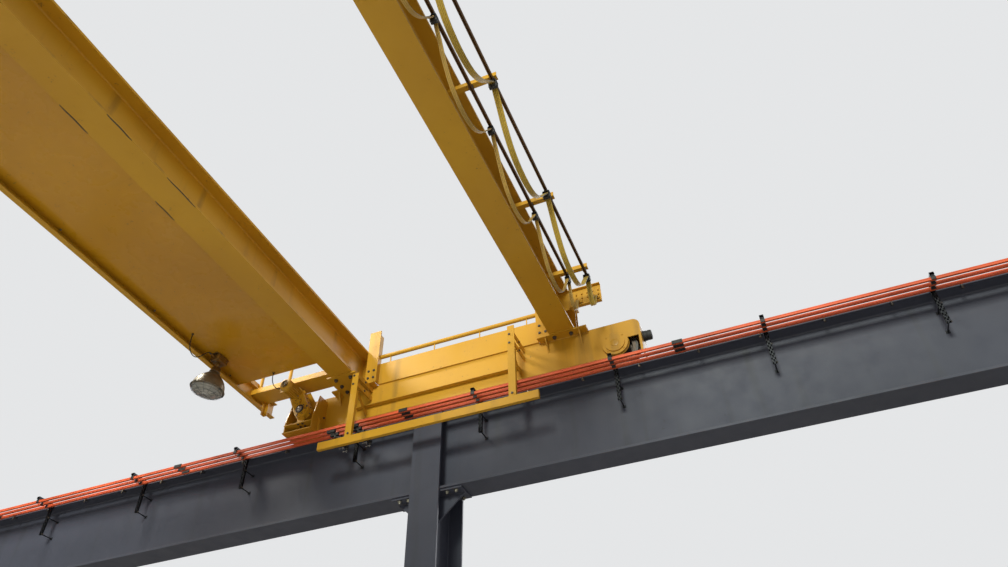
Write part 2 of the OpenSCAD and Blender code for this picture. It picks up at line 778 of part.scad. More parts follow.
// Closed high bay lights under the edge of the walk, with their ballast boxes and lead glands
module work_lights() {
    rim = lamp_d / 2;
    bell = [
        [0, 0], [rim - 14, 0], [rim, 6], [rim, 16], [rim - 6, 30], [rim - 14, 70], [rim - 30, 115],
        [rim - 56, 160], [rim - 90, 195], [rim - 124, 218], [48, 238], [38, 252],
        [34, lamp_drop - 20], [0, lamp_drop - 20]
    ];
    box_low = walk_low - 100;
    exit = lamp_lead[0];
    entry = lamp_lead[len(lamp_lead) - 1];
    gland = 2.4 * lead_d;
    color("silver") on_bridge() at_both_ends() {
        translate([lamp_x, lamp_y, box_low - 20]) {
            rotate([lamp_tilt, 0, 0]) translate([0, 0, -lamp_drop]) rotate_extrude() polygon(bell);
            sphere(d = 62);
            cylinder(h = 21, d = 44);
        }
        block([lamp_x - ballast_length / 2, lamp_y - 58, box_low],
              [lamp_x + ballast_length / 2, lamp_y + 57, walk_low]);
        translate(exit) cylinder(h = walk_low - exit[2], d = gland);
        translate([0, entry[1], entry[2]]) x_cylinder(entry[0], lamp_x - ballast_length / 2, gland);
    }
}

// Lead that hangs in a loop from the walk plate to the ballast box
module light_lead(east) {
    color("black") on_bridge() at_end(east) cord(lamp_lead, lead_d, lead_d);
}

// Torque frames round the gearboxes, carried by the end trucks' inner side plates
module drive_brackets() {
    frame_depth = 262;
    shelf_z = axle_z - frame_depth;
    left = drive_y - boss_d / 2 - 18;
    right = drive_y + motor_side + 95;
    saddle_top = axle_z - gearbox_r - run_gap;
    table_z = axle_z - boss_d / 2 - 25;
    color(paint) on_bridge() at_both_ends() {
        block([drive_x + 10, left + 6, table_z], [truck_in, right - 6, table_z + 12]);
        translate([gearbox_back + 18, drive_y, axle_z]) difference() {
            rotate([90, 0, 90]) linear_extrude(12) polygon([
                [left - drive_y - 30, -frame_depth], [left - drive_y - 30, -120], [-gearbox_r + 8, 150],
                [motor_side - 100, motor_up + 75], [motor_side, motor_up + 75], [motor_side + 20, -frame_depth]
            ]);
            x_cylinder(-1, 13, axle_d + 50);
        }
        block([drive_x + 10, left, shelf_z], [truck_in, right, shelf_z + 12]);
        for (y = [left, right - 12])
            translate([0, y + 12, shelf_z + 12]) rotate([90, 0, 0]) linear_extrude(12)
                polygon([[drive_x + 30, 0], [truck_in, 0], [truck_in, truck_top - 72 - shelf_z],
                         [drive_x + 110, truck_top - 72 - shelf_z], [drive_x + 30, 150]]);
        for (x = [drive_x + 20, gearbox_back - 45])
            block([x, drive_y - 45, table_z + 12], [x + 25, drive_y + 45, saddle_top]);
    }
}

// Outline of the gearbox round its output shaft and its motor shaft, seen along the axle
module gearbox_outline(grow = 0) {
    hull() {
        circle(gearbox_r + grow);
        translate([motor_side, motor_up]) circle(motor_d / 2 + 12 + grow);
    }
}

// Gearboxes on the driven axles, cast in two halves with a flange where they meet
module gearboxes() {
    input = [0, motor_side / 2, motor_up / 2];
    color(paint) on_bridge() at_both_ends() translate([0, drive_y, axle_z]) difference() {
        union() {
            translate([drive_x, 0, 0]) rotate([90, 0, 90]) linear_extrude(gearbox_thick) gearbox_outline();
            translate([drive_x + gearbox_thick / 2 - 7, 0, 0]) rotate([90, 0, 90])
                linear_extrude(14) gearbox_outline(9);
            x_cylinder(drive_x - 30, drive_x + 1, 110);
            x_cylinder(drive_x - 12, drive_x + 1, 150);
            translate(input) x_cylinder(drive_x - 14, drive_x + 1, 90);
            translate(input) x_cylinder(gearbox_back - 1, gearbox_back + 12, 100);
            translate([0, motor_side, motor_up]) x_cylinder(gearbox_back - 1, gearbox_back + 10, 110);
        }
        x_cylinder(drive_x - 31, gearbox_back + 1, axle_d + 2 * fit_gap);
    }
}

// Motors with cooling fins, fan cover and terminal box
module drive_motors() {
    tail = drive_x - motor_length;
    cowl = 56;
    fin_count = 20;
    exit = motor_lead[0];
    entry = motor_lead[len(motor_lead) - 1];
    gland = 2.4 * lead_d;
    cowl_half = [
        [0, 0], [motor_d / 2 - 22, 0], [motor_d / 2 - 8, 5], [motor_d / 2, 16], [motor_d / 2, cowl], [0, cowl]
    ];
    color(paint) on_bridge() at_both_ends() {
        translate([0, drive_y + motor_side, axle_z + motor_up]) {
            x_cylinder(drive_x - 18, drive_x, motor_d + 20);
            x_cylinder(tail + cowl, drive_x - 18, motor_d - 20);
            translate([tail, 0, 0]) rotate([0, 90, 0]) rotate_extrude() polygon(cowl_half);
            for (i = [0:fin_count - 1]) rotate([360 * i / fin_count, 0, 0])
                block([tail + cowl, -2.5, motor_d / 2 - 12], [drive_x - 18, 2.5, motor_d / 2 + 3]);
            block([tail + 90, motor_d / 2 - 14, -40], [tail + 180, motor_d / 2 + 38, 40]);
            block([tail + 86, motor_d / 2 + 38, -44], [tail + 184, motor_d / 2 + 45, 44]);
        }
        translate([0, entry[1], entry[2]]) x_cylinder(entry[0], tail + 90, gland);
        translate(exit) cylinder(h = walk_low - exit[2], d = gland);
    }
}

// Lead that hangs in a loop from the walk plate to the motor's terminal box
module motor_lead_cord(east) {
    color("black") on_bridge() at_end(east) cord(motor_lead, lead_d, lead_d);
}

// Frame that hangs from the end truck beside the conductor bars
module collector_frame() {
    half = frame_bar / 2;
    tube_top = frame_z + frame_tube / 2;
    reach = frame_x + half - truck_in;
    color(paint) on_bridge() {
        difference() {
            block([frame_x - half, frame_ends[0], frame_z - frame_tube / 2],
                  [frame_x + half, frame_ends[1], frame_z + frame_tube / 2]);
            block([frame_x - half + 5, frame_ends[0] - 1, frame_z - frame_tube / 2 + 5],
                  [frame_x + half - 5, frame_ends[1] + 1, frame_z + frame_tube / 2 - 5]);
        }
        for (y = [frame_south, frame_north]) {
            post_top = y > 0 ? truck_top - pad_thick - 4 : truck_top + 60;
            block([frame_x - half, y - 40, tube_top], [frame_x - half + 8, y + 40, post_top]);
            block([frame_x - half, y - 40, tube_top], [frame_x + half, y - 32, truck_top - 260]);
            for (z = [truck_top - 200, truck_top - pad_thick - 64])
                block([frame_x - half + 8, y - 30, z], [truck_in, y - 20, z + 60]);
            translate([truck_in, y + 30, truck_top - 340]) rotate([90, 0, 0]) linear_extrude(8)
                polygon([[0, 0], [0, -60], [reach, 150], [reach, 210]]);
            block([frame_x - half + 8, y + 22, truck_top - 190], [frame_x + half, y + 30, truck_top - 130]);
        }
    }
}

// Spring arms with the shoes that run under the conductor bars
module collectors() {
    tube_top = frame_z + frame_tube / 2;
    shoe_top = bar_z - bar_height / 2 - shoe_gap;
    color(steel) on_bridge() for (y = shoe_places) {
        block([frame_x - 30, y - 40, tube_top], [bar_x + bar_pitch + 20, y - 22, tube_top + 14]);
        for (k = [-1:1]) translate([bar_x + k * bar_pitch, y, 0]) {
            block([-18, -40, tube_top + 14], [18, -8, tube_top + 44]);
            hull() {
                block([-5, -20, tube_top + 30], [5, -8, tube_top + 42]);
                block([-5, 96, shoe_top - 34], [5, 108, shoe_top - 22]);
            }
            block([-9, 60, shoe_top - 24], [9, 150, shoe_top]);
        }
    }
}

// Arms on the south girder that carry the festoon tracks
module festoon_arms() {
    web_y = -girder_y - girder_web / 2;
    color(paint) on_bridge() for (x = arm_places) {
        block([x - 25, track_y[1] - 40, track_top], [x + 25, web_y, track_top + 8]);
        block([x - 25, track_y[1] - 40, track_top + 8], [x - 19, web_y, track_top + 50]);
        block([x - 25, web_y - 8, track_top - 60], [x + 25, web_y, track_top]);
    }
}

// Two slotted tracks under the arms
module festoon_tracks() {
    half = track_width / 2;
    color("black") on_bridge() for (y = track_y) translate([0, y, track_low]) difference() {
        block([-track_half, -half, 0], [track_half, half, track_height]);
        block([-track_half - 1, -half + track_wall, track_wall],
              [track_half + 1, half - track_wall, track_height - track_wall]);
        block([-track_half - 1, -track_slot, -1], [track_half + 1, track_slot, track_wall + 1]);
    }
}

// Cable carriers with their rollers in a track and a saddle under it
module festoon_carriers() {
    saddle = cable_z - cable_thick / 2 - 0.5;
    half = 26;
    cheek = 5;
    plate_low = track_low - 13;
    axle = track_low + track_wall + roller_d / 2;
    color("black") on_bridge() for (i = [0:1]) {
        inner = cable_widths[i] / 2 + 3;
        for (x = i == 0 ? inner_stops : outer_stops) translate([x, track_y[i], 0]) {
            for (t = side) translate([t * 14, 0, 0]) {
                block([-3, -3, track_low - 8], [3, 3, axle]);
                for (s = side) translate([0, 0, axle]) scale([1, s, 1])
                    y_cylinder(2, track_width / 2 - track_wall - 1, roller_d);
            }
            block([-half, -inner - cheek, plate_low], [half, inner + cheek, plate_low + 5]);
            for (s = side) scale([1, s, 1]) translate([0, inner + cheek, 0]) rotate([90, 0, 0])
                linear_extrude(cheek)
                    polygon([[-14, saddle - 30], [14, saddle - 30], [half, saddle - 10], [half, plate_low],
                             [-half, plate_low], [-half, saddle - 10]]);
            translate([0, inner, saddle]) rotate([90, 0, 0]) linear_extrude(2 * inner)
                polygon([[-14, -30], [14, -30], [half, -12], [10, -2], [0, 0], [-10, -2], [-half, -12]]);
        }
    }
}

// Terminal plate at the east end of the tracks, with two rows of ribs, where the cables are clamped
module festoon_end_clamp() {
    low = clamp_top - clamp_height;
    outer = track_y[1] - 60;
    flange_y = -girder_y - girder_width / 2 - 2;
    rib = 16;
    rib_pitch = 62;
    color(paint) on_bridge() {
        block([clamp_x, outer, low], [clamp_x + 10, -girder_y - girder_web / 2, clamp_top]);
        for (z = [low, clamp_top - 8]) block([clamp_x - 34, outer, z], [clamp_x, flange_y, z + 8]);
        for (y = track_y) block([clamp_x - 30, y - 42, cable_z - 32], [clamp_x, y + 42, cable_z + 2]);
        for (z = [low + 100, low + 160]) for (y = [outer + 20:rib_pitch:flange_y - rib - 20])
            block([clamp_x - 18, y, z], [clamp_x, y + rib, z + 26]);
    }
}

module festoon_cable_inner() {
    color("khaki") on_bridge() cord(inner_route, cable_width, cable_thick);
}

module festoon_cable_outer() {
    color("khaki") on_bridge() cord(outer_route, outer_width, cable_thick);
}

// Trolley of two end carriages joined by cross beams, with the arm that tows the festoon
module trolley_frame() {
    half = trolley_base / 2 + 150;
    high = 160;
    color(paint) on_bridge() translate([trolley_x, 0, 0]) {
        for (s = side) translate([0, s * girder_y, 0]) {
            block([-half, -70, trolley_frame_z], [half, 70, trolley_frame_z + high]);
            for (t = side) translate([t * trolley_base / 2, 0, trolley_z]) {
                y_cylinder(-30, 30, trolley_wheel);
                for (u = side) scale([1, u, 1]) {
                    y_cylinder(22, 32, trolley_wheel + 24);
                    block([-50, 34, -50], [50, 46, trolley_frame_z - trolley_z]);
                }
                y_cylinder(-46, 46, 50);
            }
        }
        for (x = [-trolley_base / 2 + 60, trolley_base / 2 - 60])
            block([x - 60, -girder_y + 70, trolley_frame_z], [x + 60, girder_y - 70, trolley_frame_z + high]);
        tow = tow_x - trolley_x;
        block([tow - 20, track_y[1] - 30, trolley_frame_z + 60],
              [tow + 20, -girder_y - 70, trolley_frame_z + 100]);
        for (i = [0:1]) translate([0, track_y[i], 0]) {
            foot = cable_widths[i] / 2 + 6;
            block([tow - 14, foot, cable_z - 20], [tow, foot + 8, trolley_frame_z + 60]);
            block([tow - 14, -foot, cable_z - 20], [tow, foot, cable_z + 20]);
        }
    }
}

// Grooved rope drum between two bearing plates
module hoist_drum() {
    groove = rope_d + 3;
    start = 110;
    groove_places = [for (y = [start:groove:drum_half - 60]) y];
    plates = [-drum_half - 30, drum_half];
    color(steel) on_bridge() translate([trolley_x, 0, 0]) {
        translate([0, 0, drum_z]) {
            for (s = side) scale([1, s, 1]) rotate([-90, 0, 0]) rotate_extrude() polygon(concat(
                [[0, 0]], [[drum_d / 2, 0]],
                [for (y = groove_places) each [
                    [drum_d / 2, y], [drum_d / 2 - 3, y + groove * 0.3],
                    [drum_d / 2 - 3, y + groove * 0.6], [drum_d / 2, y + groove * 0.9]]],
                [[drum_d / 2, drum_half], [0, drum_half]]));
            for (y = [-drum_half, drum_half - 20]) translate([0, y, 0]) y_cylinder(0, 20, drum_d + 70);
            y_cylinder(-drum_half - 30, drum_half + 30, 90);
        }
        for (y = plates) block([-200, y, trolley_frame_z + 40], [200, y + 30, drum_z + 60]);
        for (y = plates) for (s = side) scale([s, 1, 1])
            block([200, y, trolley_frame_z + 40], [trolley_base / 2 - 120, y + 30, trolley_frame_z + 120]);
    }
}

// Hoist gearbox and motor beside the drum
module hoist_machinery() {
    gear_y = 630;
    color("darkslategray") on_bridge() translate([trolley_x, 0, 0]) {
        block([-230, gear_y, trolley_frame_z + 160], [230, gear_y + 170, drum_z + 180]);
        block([-trolley_base / 2 + 20, gear_y + 20, trolley_frame_z + 160], [-230, gear_y + 150, trolley_frame_z + 220]);
        block([230, gear_y + 20, trolley_frame_z + 160], [trolley_base / 2 - 20, gear_y + 150, trolley_frame_z + 220]);
        translate([-60, gear_y + 170, drum_z + 40]) y_cylinder(0, 300, 240);
        translate([-60, gear_y + 470, drum_z + 40]) y_cylinder(0, 50, 210);
    }
}

// Four falls of rope from the drum down to the sheaves of the hook block
module hoist_ropes() {
    color(steel) on_bridge() translate([trolley_x, 0, 0])
        for (y = [-75, -25, 25, 75]) for (s = y > 0 ? 1 : -1)
            translate([s * (drum_d / 2 + rope_d / 2), y, block_z]) cylinder(h = drum_z - block_z, d = rope_d);
}

// Sheaves between the two cheek plates of the hook block
module hook_block() {
    color(steel) on_bridge() translate([trolley_x, 0, block_z]) {
        for (y = [-75, -25, 25, 75]) translate([0, y, 0]) y_cylinder(-14, 14, drum_d - 2 * run_gap);
        for (s = side) scale([1, s, 1]) hull() {
            y_cylinder(100, 116, drum_d + 30);
            translate([0, 0, -230]) y_cylinder(100, 116, 160);
        }
        y_cylinder(-116, 116, 60);
        block([-60, -116, -trunnion_low], [60, 116, 80 - trunnion_low]);
    }
}

// Forged lifting hook under the block: a shank, a bowl that is thickest below, and a nose that narrows
module hook() {
    bowl_r = 92;
    shank = 140;
    stock = 52;
    bowl = [for (a = [120:15:360]) [bowl_r * cos(a), bowl_r * sin(a), stock - 14 * sin(a)]];
    line = concat([[0, 232, 60], [0, 150, 60], [-10, 116, 58]], bowl, [[96, 30, 38], [104, 56, 24]]);
    sizes = [for (p = line) p[2]];
    color(steel) on_bridge() translate([trolley_x, 0, block_z - trunnion_low - shank - bowl_r])
        cord([for (p = line) [p[0], 0, p[1]]], [for (d = sizes) d * 0.85], sizes, 16);
}

for (row = [-1:1]) column(1, row);  // east_columns
for (row = [-1:1]) column(-1, row);  // west_columns
base_plates();
runway_beams(1);  // east_runway_beams
runway_beams(-1);  // west_runway_beams
runway_rails();
end_stops();
conductor_brackets();
conductor_bars();
joint_covers();
on_bridge() girder(girder_y);  // north_girder
on_bridge() girder(-girder_y);  // south_girder
trolley_rails();
end_truck(true);  // east_end_truck
end_truck(false);  // west_end_truck
end_ties();
wheel(1, 1);  // wheel_north_east
wheel(1, -1);  // wheel_south_east
wheel(-1, 1);  // wheel_north_west
wheel(-1, -1);  // wheel_south_west
walk_deck();
walk_channel();
walk_ends();
handrail();
handrail_ends();
work_lights();
light_lead(true);  // east_light_lead
light_lead(false);  // west_light_lead
drive_brackets();
gearboxes();
drive_motors();
motor_lead_cord(true);  // east_motor_lead
motor_lead_cord(false);  // west_motor_lead
collector_frame();
collectors();
festoon_arms();
festoon_tracks();
festoon_carriers();
festoon_end_clamp();
festoon_cable_inner();
festoon_cable_outer();
trolley_frame();
hoist_drum();
hoist_machinery();
hoist_ropes();
hook_block();
hook();
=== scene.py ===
"""Looks of a top running bridge crane on its runway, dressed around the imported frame.

Everything is in metres: +X along the bridge, +Y along the runway, +Z up, with the floor at zero.
"""
import logging
import math
from dataclasses import dataclass
from enum import Enum
from itertools import product
from typing import Iterable, Sequence

import bpy
from mathutils import Matrix, Vector


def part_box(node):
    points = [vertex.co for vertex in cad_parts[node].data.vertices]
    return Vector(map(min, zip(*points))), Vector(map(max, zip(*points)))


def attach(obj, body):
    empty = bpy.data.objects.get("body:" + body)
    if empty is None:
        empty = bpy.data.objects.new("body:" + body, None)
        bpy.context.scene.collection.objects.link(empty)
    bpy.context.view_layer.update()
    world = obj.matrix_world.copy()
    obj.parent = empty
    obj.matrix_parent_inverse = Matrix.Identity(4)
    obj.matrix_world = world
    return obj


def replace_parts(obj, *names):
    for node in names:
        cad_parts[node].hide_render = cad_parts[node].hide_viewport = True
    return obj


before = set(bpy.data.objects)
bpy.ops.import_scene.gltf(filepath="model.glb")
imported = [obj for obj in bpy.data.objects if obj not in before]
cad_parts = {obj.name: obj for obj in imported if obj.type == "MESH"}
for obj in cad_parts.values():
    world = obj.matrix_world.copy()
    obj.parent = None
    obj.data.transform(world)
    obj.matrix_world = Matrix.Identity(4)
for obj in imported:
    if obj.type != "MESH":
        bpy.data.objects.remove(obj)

LOG = logging.getLogger("crane")
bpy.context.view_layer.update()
Point = Sequence[float]
Pair = tuple[float, float]
Colour = tuple[float, float, float]
Socket = bpy.types.NodeSocket
Value = Socket | float | Sequence[float]
SIDES, THREE = (-1, 1), (-1, 0, 1)
X_AXIS, Y_AXIS, Z_AXIS = (1, 0, 0), (0, 1, 0), (0, 0, 1)
WEST, SOUTH, DOWN = (-1, 0, 0), (0, -1, 0), (0, 0, -1)
# Socket numbers of the colour mixing node, whose socket names aren't unique
MIX_SHARE, MIX_A, MIX_B, MIX_COLOUR = 0, 6, 7, 2
COAT_ROUGHNESS = 0.12
BEVEL_SAMPLES = 3
FLATTEN = 0.0001
NEARLY_ALONG = 0.98
RIPPLE = 2.1
SHARP = math.radians(32)
# The three conductor bars, which the collectors reach too
BAR_X, BAR_Z, BAR_PITCH = 5.692, 6.165, 0.072
BARS_X = tuple(BAR_X + k * BAR_PITCH for k in THREE)
BAR_HALF = (0.012, 0.017)
# Festoon: tracks, cables and their two ends
TRACK_Y, CABLE_Z, CLAMP_X, TOW_X = (-1.555, -1.750), 7.050, 5.670, -1.820
CABLE_WIDTHS = (0.036, 0.052)
INNER_STOPS = (5.290, 4.300, 3.210, 2.080, 1.090, 0.100, -0.860)
OUTER_STOPS = (5.340, 4.090, 2.790, 1.490, 0.390, -0.710)
# Work lights under the walk, and the drives beside its end
LIGHT_X, LIGHT_Y, WALK_LOW = 4.770, 2.450, 6.880
DRIVE_X = 5.600


class Body(Enum):
    """Bodies that a piece can ride on."""

    RUNWAY = "runway"
    BRIDGE = "bridge"


class Slot(Enum):
    """Material slots of the record, passed with each piece but not used."""

    YELLOW = "crane_yellow"
    SLATE = "slate_paint"
    RAIL = "rail_steel"
    STRUT = "galvanised_strut"
    PLASTIC = "black_plastic"
    BLACK = "black_steel"
    WHEEL = "wheel_steel"
    CABLE = "flat_cable"
    LEAD = "black_lead"
    LIGHT = "light_housing"
    HOIST = "hoist_grey"
    ROPE = "wire_rope"


class Graph:
    """Node tree of one material, with the few kinds of node that the finishes share."""

    def __init__(self, name: str) -> None:
        """Starts a material that holds a principled shader alone.

        Args:
            name: the material's name.
        """
        self.material = bpy.data.materials.new(name)
        self.material.use_nodes = True
        self.nodes = self.material.node_tree.nodes
        self.links = self.material.node_tree.links
        self.shader = self.nodes["Principled BSDF"]
        self.place = self.nodes.new("ShaderNodeTexCoord").outputs["Object"]

    def feed(self, socket: Socket, value: Value) -> None:
        """Links a socket to another, or sets it to a plain value.

        Args:
            socket: the input that is fed.
            value: another socket, a number, a vector or a colour.
        """
        if isinstance(value, bpy.types.NodeSocket):
            self.links.new(value, socket)
        elif isinstance(value, tuple) and len(socket.default_value) == 4:
            socket.default_value = (*value, 1.0)
        else:
            socket.default_value = value

    def add(self, kind: str, inputs: dict[str | int, Value], **options: str | int) -> bpy.types.Node:
        """Adds one node.

        Args:
            kind: the node's type after ShaderNode.
            inputs: a value or a linked socket for each input that is fed.
            options: the node's own settings.

        Returns:
            The node.
        """
        node = self.nodes.new(f"ShaderNode{kind}")
        for name, option in options.items():
            setattr(node, name, option)
        for name, value in inputs.items():
            self.feed(node.inputs[name], value)
        return node

    def scaled(self, stretch: Point, centre: Point = (0, 0, 0)) -> Socket:
        """Object coordinates about a centre, stretched along each axis.

        Args:
            stretch: factor along each axis.
            centre: point that stays in place.

        Returns:
            The coordinates.
        """
        inverse = [1 / s for s in stretch]
        inputs = {"Vector": self.place, "Location": list(centre), "Scale": inverse}
        return self.add("Mapping", inputs, vector_type="TEXTURE").outputs[0]

    def noise(self, scale: float, detail: float = 3.0, stretch: Point = (1, 1, 1)) -> Socket:
        """Fractal noise about 0.5, with scale in waves a metre."""
        inputs = {"Vector": self.scaled(stretch), "Scale": scale, "Detail": detail}
        return self.add("TexNoise", inputs).outputs["Fac"]

    def cells(self, scale: float) -> Socket:
        """Random value of each cell, for spangle."""
        cells = self.add("TexVoronoi", {"Vector": self.place, "Scale": scale})
        return self.add("SeparateColor", {0: cells.outputs["Color"]}).outputs[0]

    def rings(self, scale: float, axis: str, distortion: float) -> Socket:
        """Waves along one axis, such as turning marks."""
        inputs = {"Vector": self.place, "Scale": scale, "Distortion": distortion}
        return self.add("TexWave", inputs, bands_direction=axis).outputs["Fac"]

    def axle_distance(self, centre: Point) -> Socket:
        """Distance from the line along X through a centre."""
        flat = self.scaled((FLATTEN, 1, 1), centre)
        return self.add("VectorMath", {0: flat}, operation="LENGTH").outputs["Value"]

    def span(self, value: Socket, low: float, high: float, to: Pair = (0.0, 1.0)) -> Socket:
        """Value mapped from low..high to a range, and held at its ends."""
        inputs = {"Value": value, "From Min": low, "From Max": high, "To Min": to[0], "To Max": to[1]}
        return self.add("MapRange", inputs).outputs[0]

    def math(self, operation: str, a: Socket | float, b: Socket | float = 0.0) -> Socket:
        """One operation on two numbers."""
        return self.add("Math", {0: a, 1: b}, operation=operation).outputs[0]

    def plus(self, a: Socket | float, b: Socket | float) -> Socket:
        """Sum of two numbers."""
        return self.math("ADD", a, b)

    def times(self, a: Socket | float, b: Socket | float) -> Socket:
        """Product of two numbers."""
        return self.math("MULTIPLY", a, b)

    def mix(self, share: Socket | float, a: Socket | Colour, b: Socket | Colour) -> Socket:
        """Colour between a and b."""
        return self.add("Mix", {MIX_SHARE: share, MIX_A: a, MIX_B: b}, data_type="RGBA").outputs[MIX_COLOUR]

    def normal(self) -> Socket:
        """Plain normal of the surface."""
        return self.nodes.new("ShaderNodeNewGeometry").outputs["Normal"]

    def part(self, vector: Socket, axis: str) -> Socket:
        """One component of a vector."""
        return self.add("SeparateXYZ", {0: vector}).outputs[axis]

    def edges(self, radius: float) -> Socket:
        """1 near sharp edges and 0 on flat faces.

        Args:
            radius: reach of an edge, in metres.

        Returns:
            The share.
        """
        bevel = self.add("Bevel", {"Radius": radius}, samples=BEVEL_SAMPLES).outputs[0]
        likeness = self.add("VectorMath", {0: bevel, 1: self.normal()}, operation="DOT_PRODUCT")
        return self.span(likeness.outputs["Value"], 0.99, 0.86)

    def bump(self, height: Socket, strength: float, distance: float, below: Socket | None = None) -> Socket:
        """Normal disturbed by a height in metres times the distance.

        Args:
            height: the height that is added.
            strength: share of the bump, from 0 to 1.
            distance: height of a full bump, in metres.
            below: normal that it is laid on, if any.

        Returns:
            The normal.
        """
        inputs = {"Strength": strength, "Distance": distance, "Height": height}
        if below is not None:
            inputs["Normal"] = below
        return self.add("Bump", inputs).outputs[0]

    def close(self, colour: Socket | Colour, roughness: Socket | float, normal: Socket | None = None,
              metallic: float = 0.0, coat: float = 0.0, **more: float) -> bpy.types.Material:
        """Fills the shader's sockets.

        Args:
            colour: base colour.
            roughness: roughness of the surface.
            normal: disturbed normal, if any.
            metallic: metallic share, the same all over.
            coat: weight of a clear coat, the same all over.
            more: other sockets of the shader by name, with _ for a space.

        Returns:
            The finished material.
        """
        values = {"Base Color": colour, "Roughness": roughness, "Metallic": metallic, "Coat Weight": coat,
                  "Coat Roughness": COAT_ROUGHNESS}
        values.update((name.replace("_", " "), number) for name, number in more.items())
        if normal is not None:
            values["Normal"] = normal
        for name, value in values.items():
            self.feed(self.shader.inputs[name], value)
        return self.material


def toned(colour: Colour, share: float) -> Colour:
    """A colour made darker or lighter by a factor."""
    return tuple(c * share for c in colour)


@dataclass(frozen=True)
class Finish:
    """A surface finish, made into a material once."""

    name: str

    def material(self) -> bpy.types.Material:
        """The finish's material."""
        return bpy.data.materials.get(self.name) or self.build(Graph(self.name))

    def build(self, g: Graph) -> bpy.types.Material:
        """Fills the node tree; each kind of finish has its own."""
        raise NotImplementedError(g.material.name)


@dataclass(frozen=True)
class Enamel(Finish):
    """Brushed or sprayed enamel on steel, with orange peel, dust, streaks and worn edges."""

    colour: Colour
    shade: Colour
    under: Colour = (0.10, 0.045, 0.02)
    dust: Colour = (0.34, 0.29, 0.22)
    grime: Colour = (0.07, 0.045, 0.025)
    gloss: float = 0.42
    peel: float = 0.10
    coat: float = 0.10
    wear: float = 0.6

    def build(self, g: Graph) -> bpy.types.Material:
        """Layers tone, streaks, dust and chips.

        Args:
            g: node tree that is filled.

        Returns:
            The finished material.
        """
        broad, blotch, fine = g.noise(0.55, 2.0), g.noise(5.0, 4.0), g.noise(38.0)
        up = g.part(g.normal(), "Z")
        colour = g.mix(g.span(broad, 0.35, 0.68), self.colour, self.shade)
        colour = g.mix(g.span(blotch, 0.50, 0.80, (0.0, 0.35)), colour, self.shade)
        steep = g.span(g.math("ABSOLUTE", up), 0.75, 0.15)
        streak = g.span(g.noise(6.0, 3.0, (1, 1, 0.09)), 0.56, 0.74, (0.0, 0.42))
        colour = g.mix(g.times(streak, steep), colour, self.grime)
        spots = g.span(g.plus(fine, g.times(blotch, 0.6)), 1.02, 1.12, (0.0, 0.5))
        colour = g.mix(spots, colour, self.grime)
        settled = g.times(g.span(up, 0.55, 0.95), g.span(blotch, 0.32, 0.62, (0.25, 0.85)))
        colour = g.mix(settled, colour, self.dust)
        worn = g.times(g.edges(0.005), g.span(g.noise(16.0, 5.0), 0.50, 0.60, (0.0, self.wear)))
        colour = g.mix(worn, colour, self.under)
        rough = g.plus(g.span(blotch, 0.25, 0.75, (self.gloss - 0.05, self.gloss + 0.12)), g.times(settled, 0.4))
        rough = g.plus(rough, g.times(worn, 0.3))
        rolled = g.bump(g.noise(2.2, 2.0), 0.35, 0.010)
        peel = g.bump(g.noise(170.0, 2.0), self.peel, 0.0015, rolled)
        chipped = g.bump(g.math("SUBTRACT", 1.0, worn), 0.35, 0.0006, peel)
        return g.close(colour, rough, chipped, coat=self.coat, Specular_IOR_Level=0.38)


@dataclass(frozen=True)
class BareSteel(Finish):
    """Rolled, forged or turned steel without paint."""

    colour: Colour
    stain: Colour
    roughness: float = 0.42
    grain: Point = (1, 1, 1)
    rust: float = 0.25
    rust_colour: Colour = (0.16, 0.06, 0.022)

    def build(self, g: Graph) -> bpy.types.Material:
        """Mixes steel, scale and rust.

        Args:
            g: node tree that is filled.

        Returns:
            The finished material.
        """
        patch = g.noise(3.5, 5.0, self.grain)
        fine = g.noise(90.0, 3.0, self.grain)
        colour = g.mix(g.span(patch, 0.38, 0.66), self.colour, self.stain)
        rusty = g.span(g.noise(11.0, 6.0), 0.56, 0.70, (0.0, self.rust))
        colour = g.mix(rusty, colour, self.rust_colour)
        sheen = g.span(fine, 0.3, 0.7, (self.roughness - 0.08, self.roughness + 0.12))
        bumps = g.bump(fine, 0.22, 0.0008, g.bump(patch, 0.15, 0.002))
        return g.close(colour, g.plus(sheen, g.times(rusty, 0.6)), bumps, metallic=0.85)


@dataclass(frozen=True)
class RunwaySteel(Finish):
    """Rail steel that is rusty brown below and bright along the running face."""

    top: float
    band: float = 0.004
    rusts: tuple[Colour, Colour] = ((0.13, 0.085, 0.06), (0.22, 0.12, 0.07))
    brights: tuple[Colour, Colour] = ((0.55, 0.54, 0.52), (0.36, 0.35, 0.34))

    def build(self, g: Graph) -> bpy.types.Material:
        """Brightens what lies within the band under the top.

        Args:
            g: node tree that is filled.

        Returns:
            The finished material.
        """
        patch = g.noise(4.0, 5.0, (1, 0.2, 1))
        dull = g.mix(g.span(patch, 0.35, 0.68), *self.rusts)
        bright = g.mix(g.span(g.noise(60.0, 2.0, (1, 0.05, 1)), 0.3, 0.7), *self.brights)
        run = g.span(g.part(g.place, "Z"), self.top - self.band, self.top - self.band * 0.4)
        rough = g.span(run, 0.0, 1.0, (0.62, 0.22))
        return g.close(g.mix(run, dull, bright), rough, g.bump(patch, 0.2, 0.002), metallic=0.8)


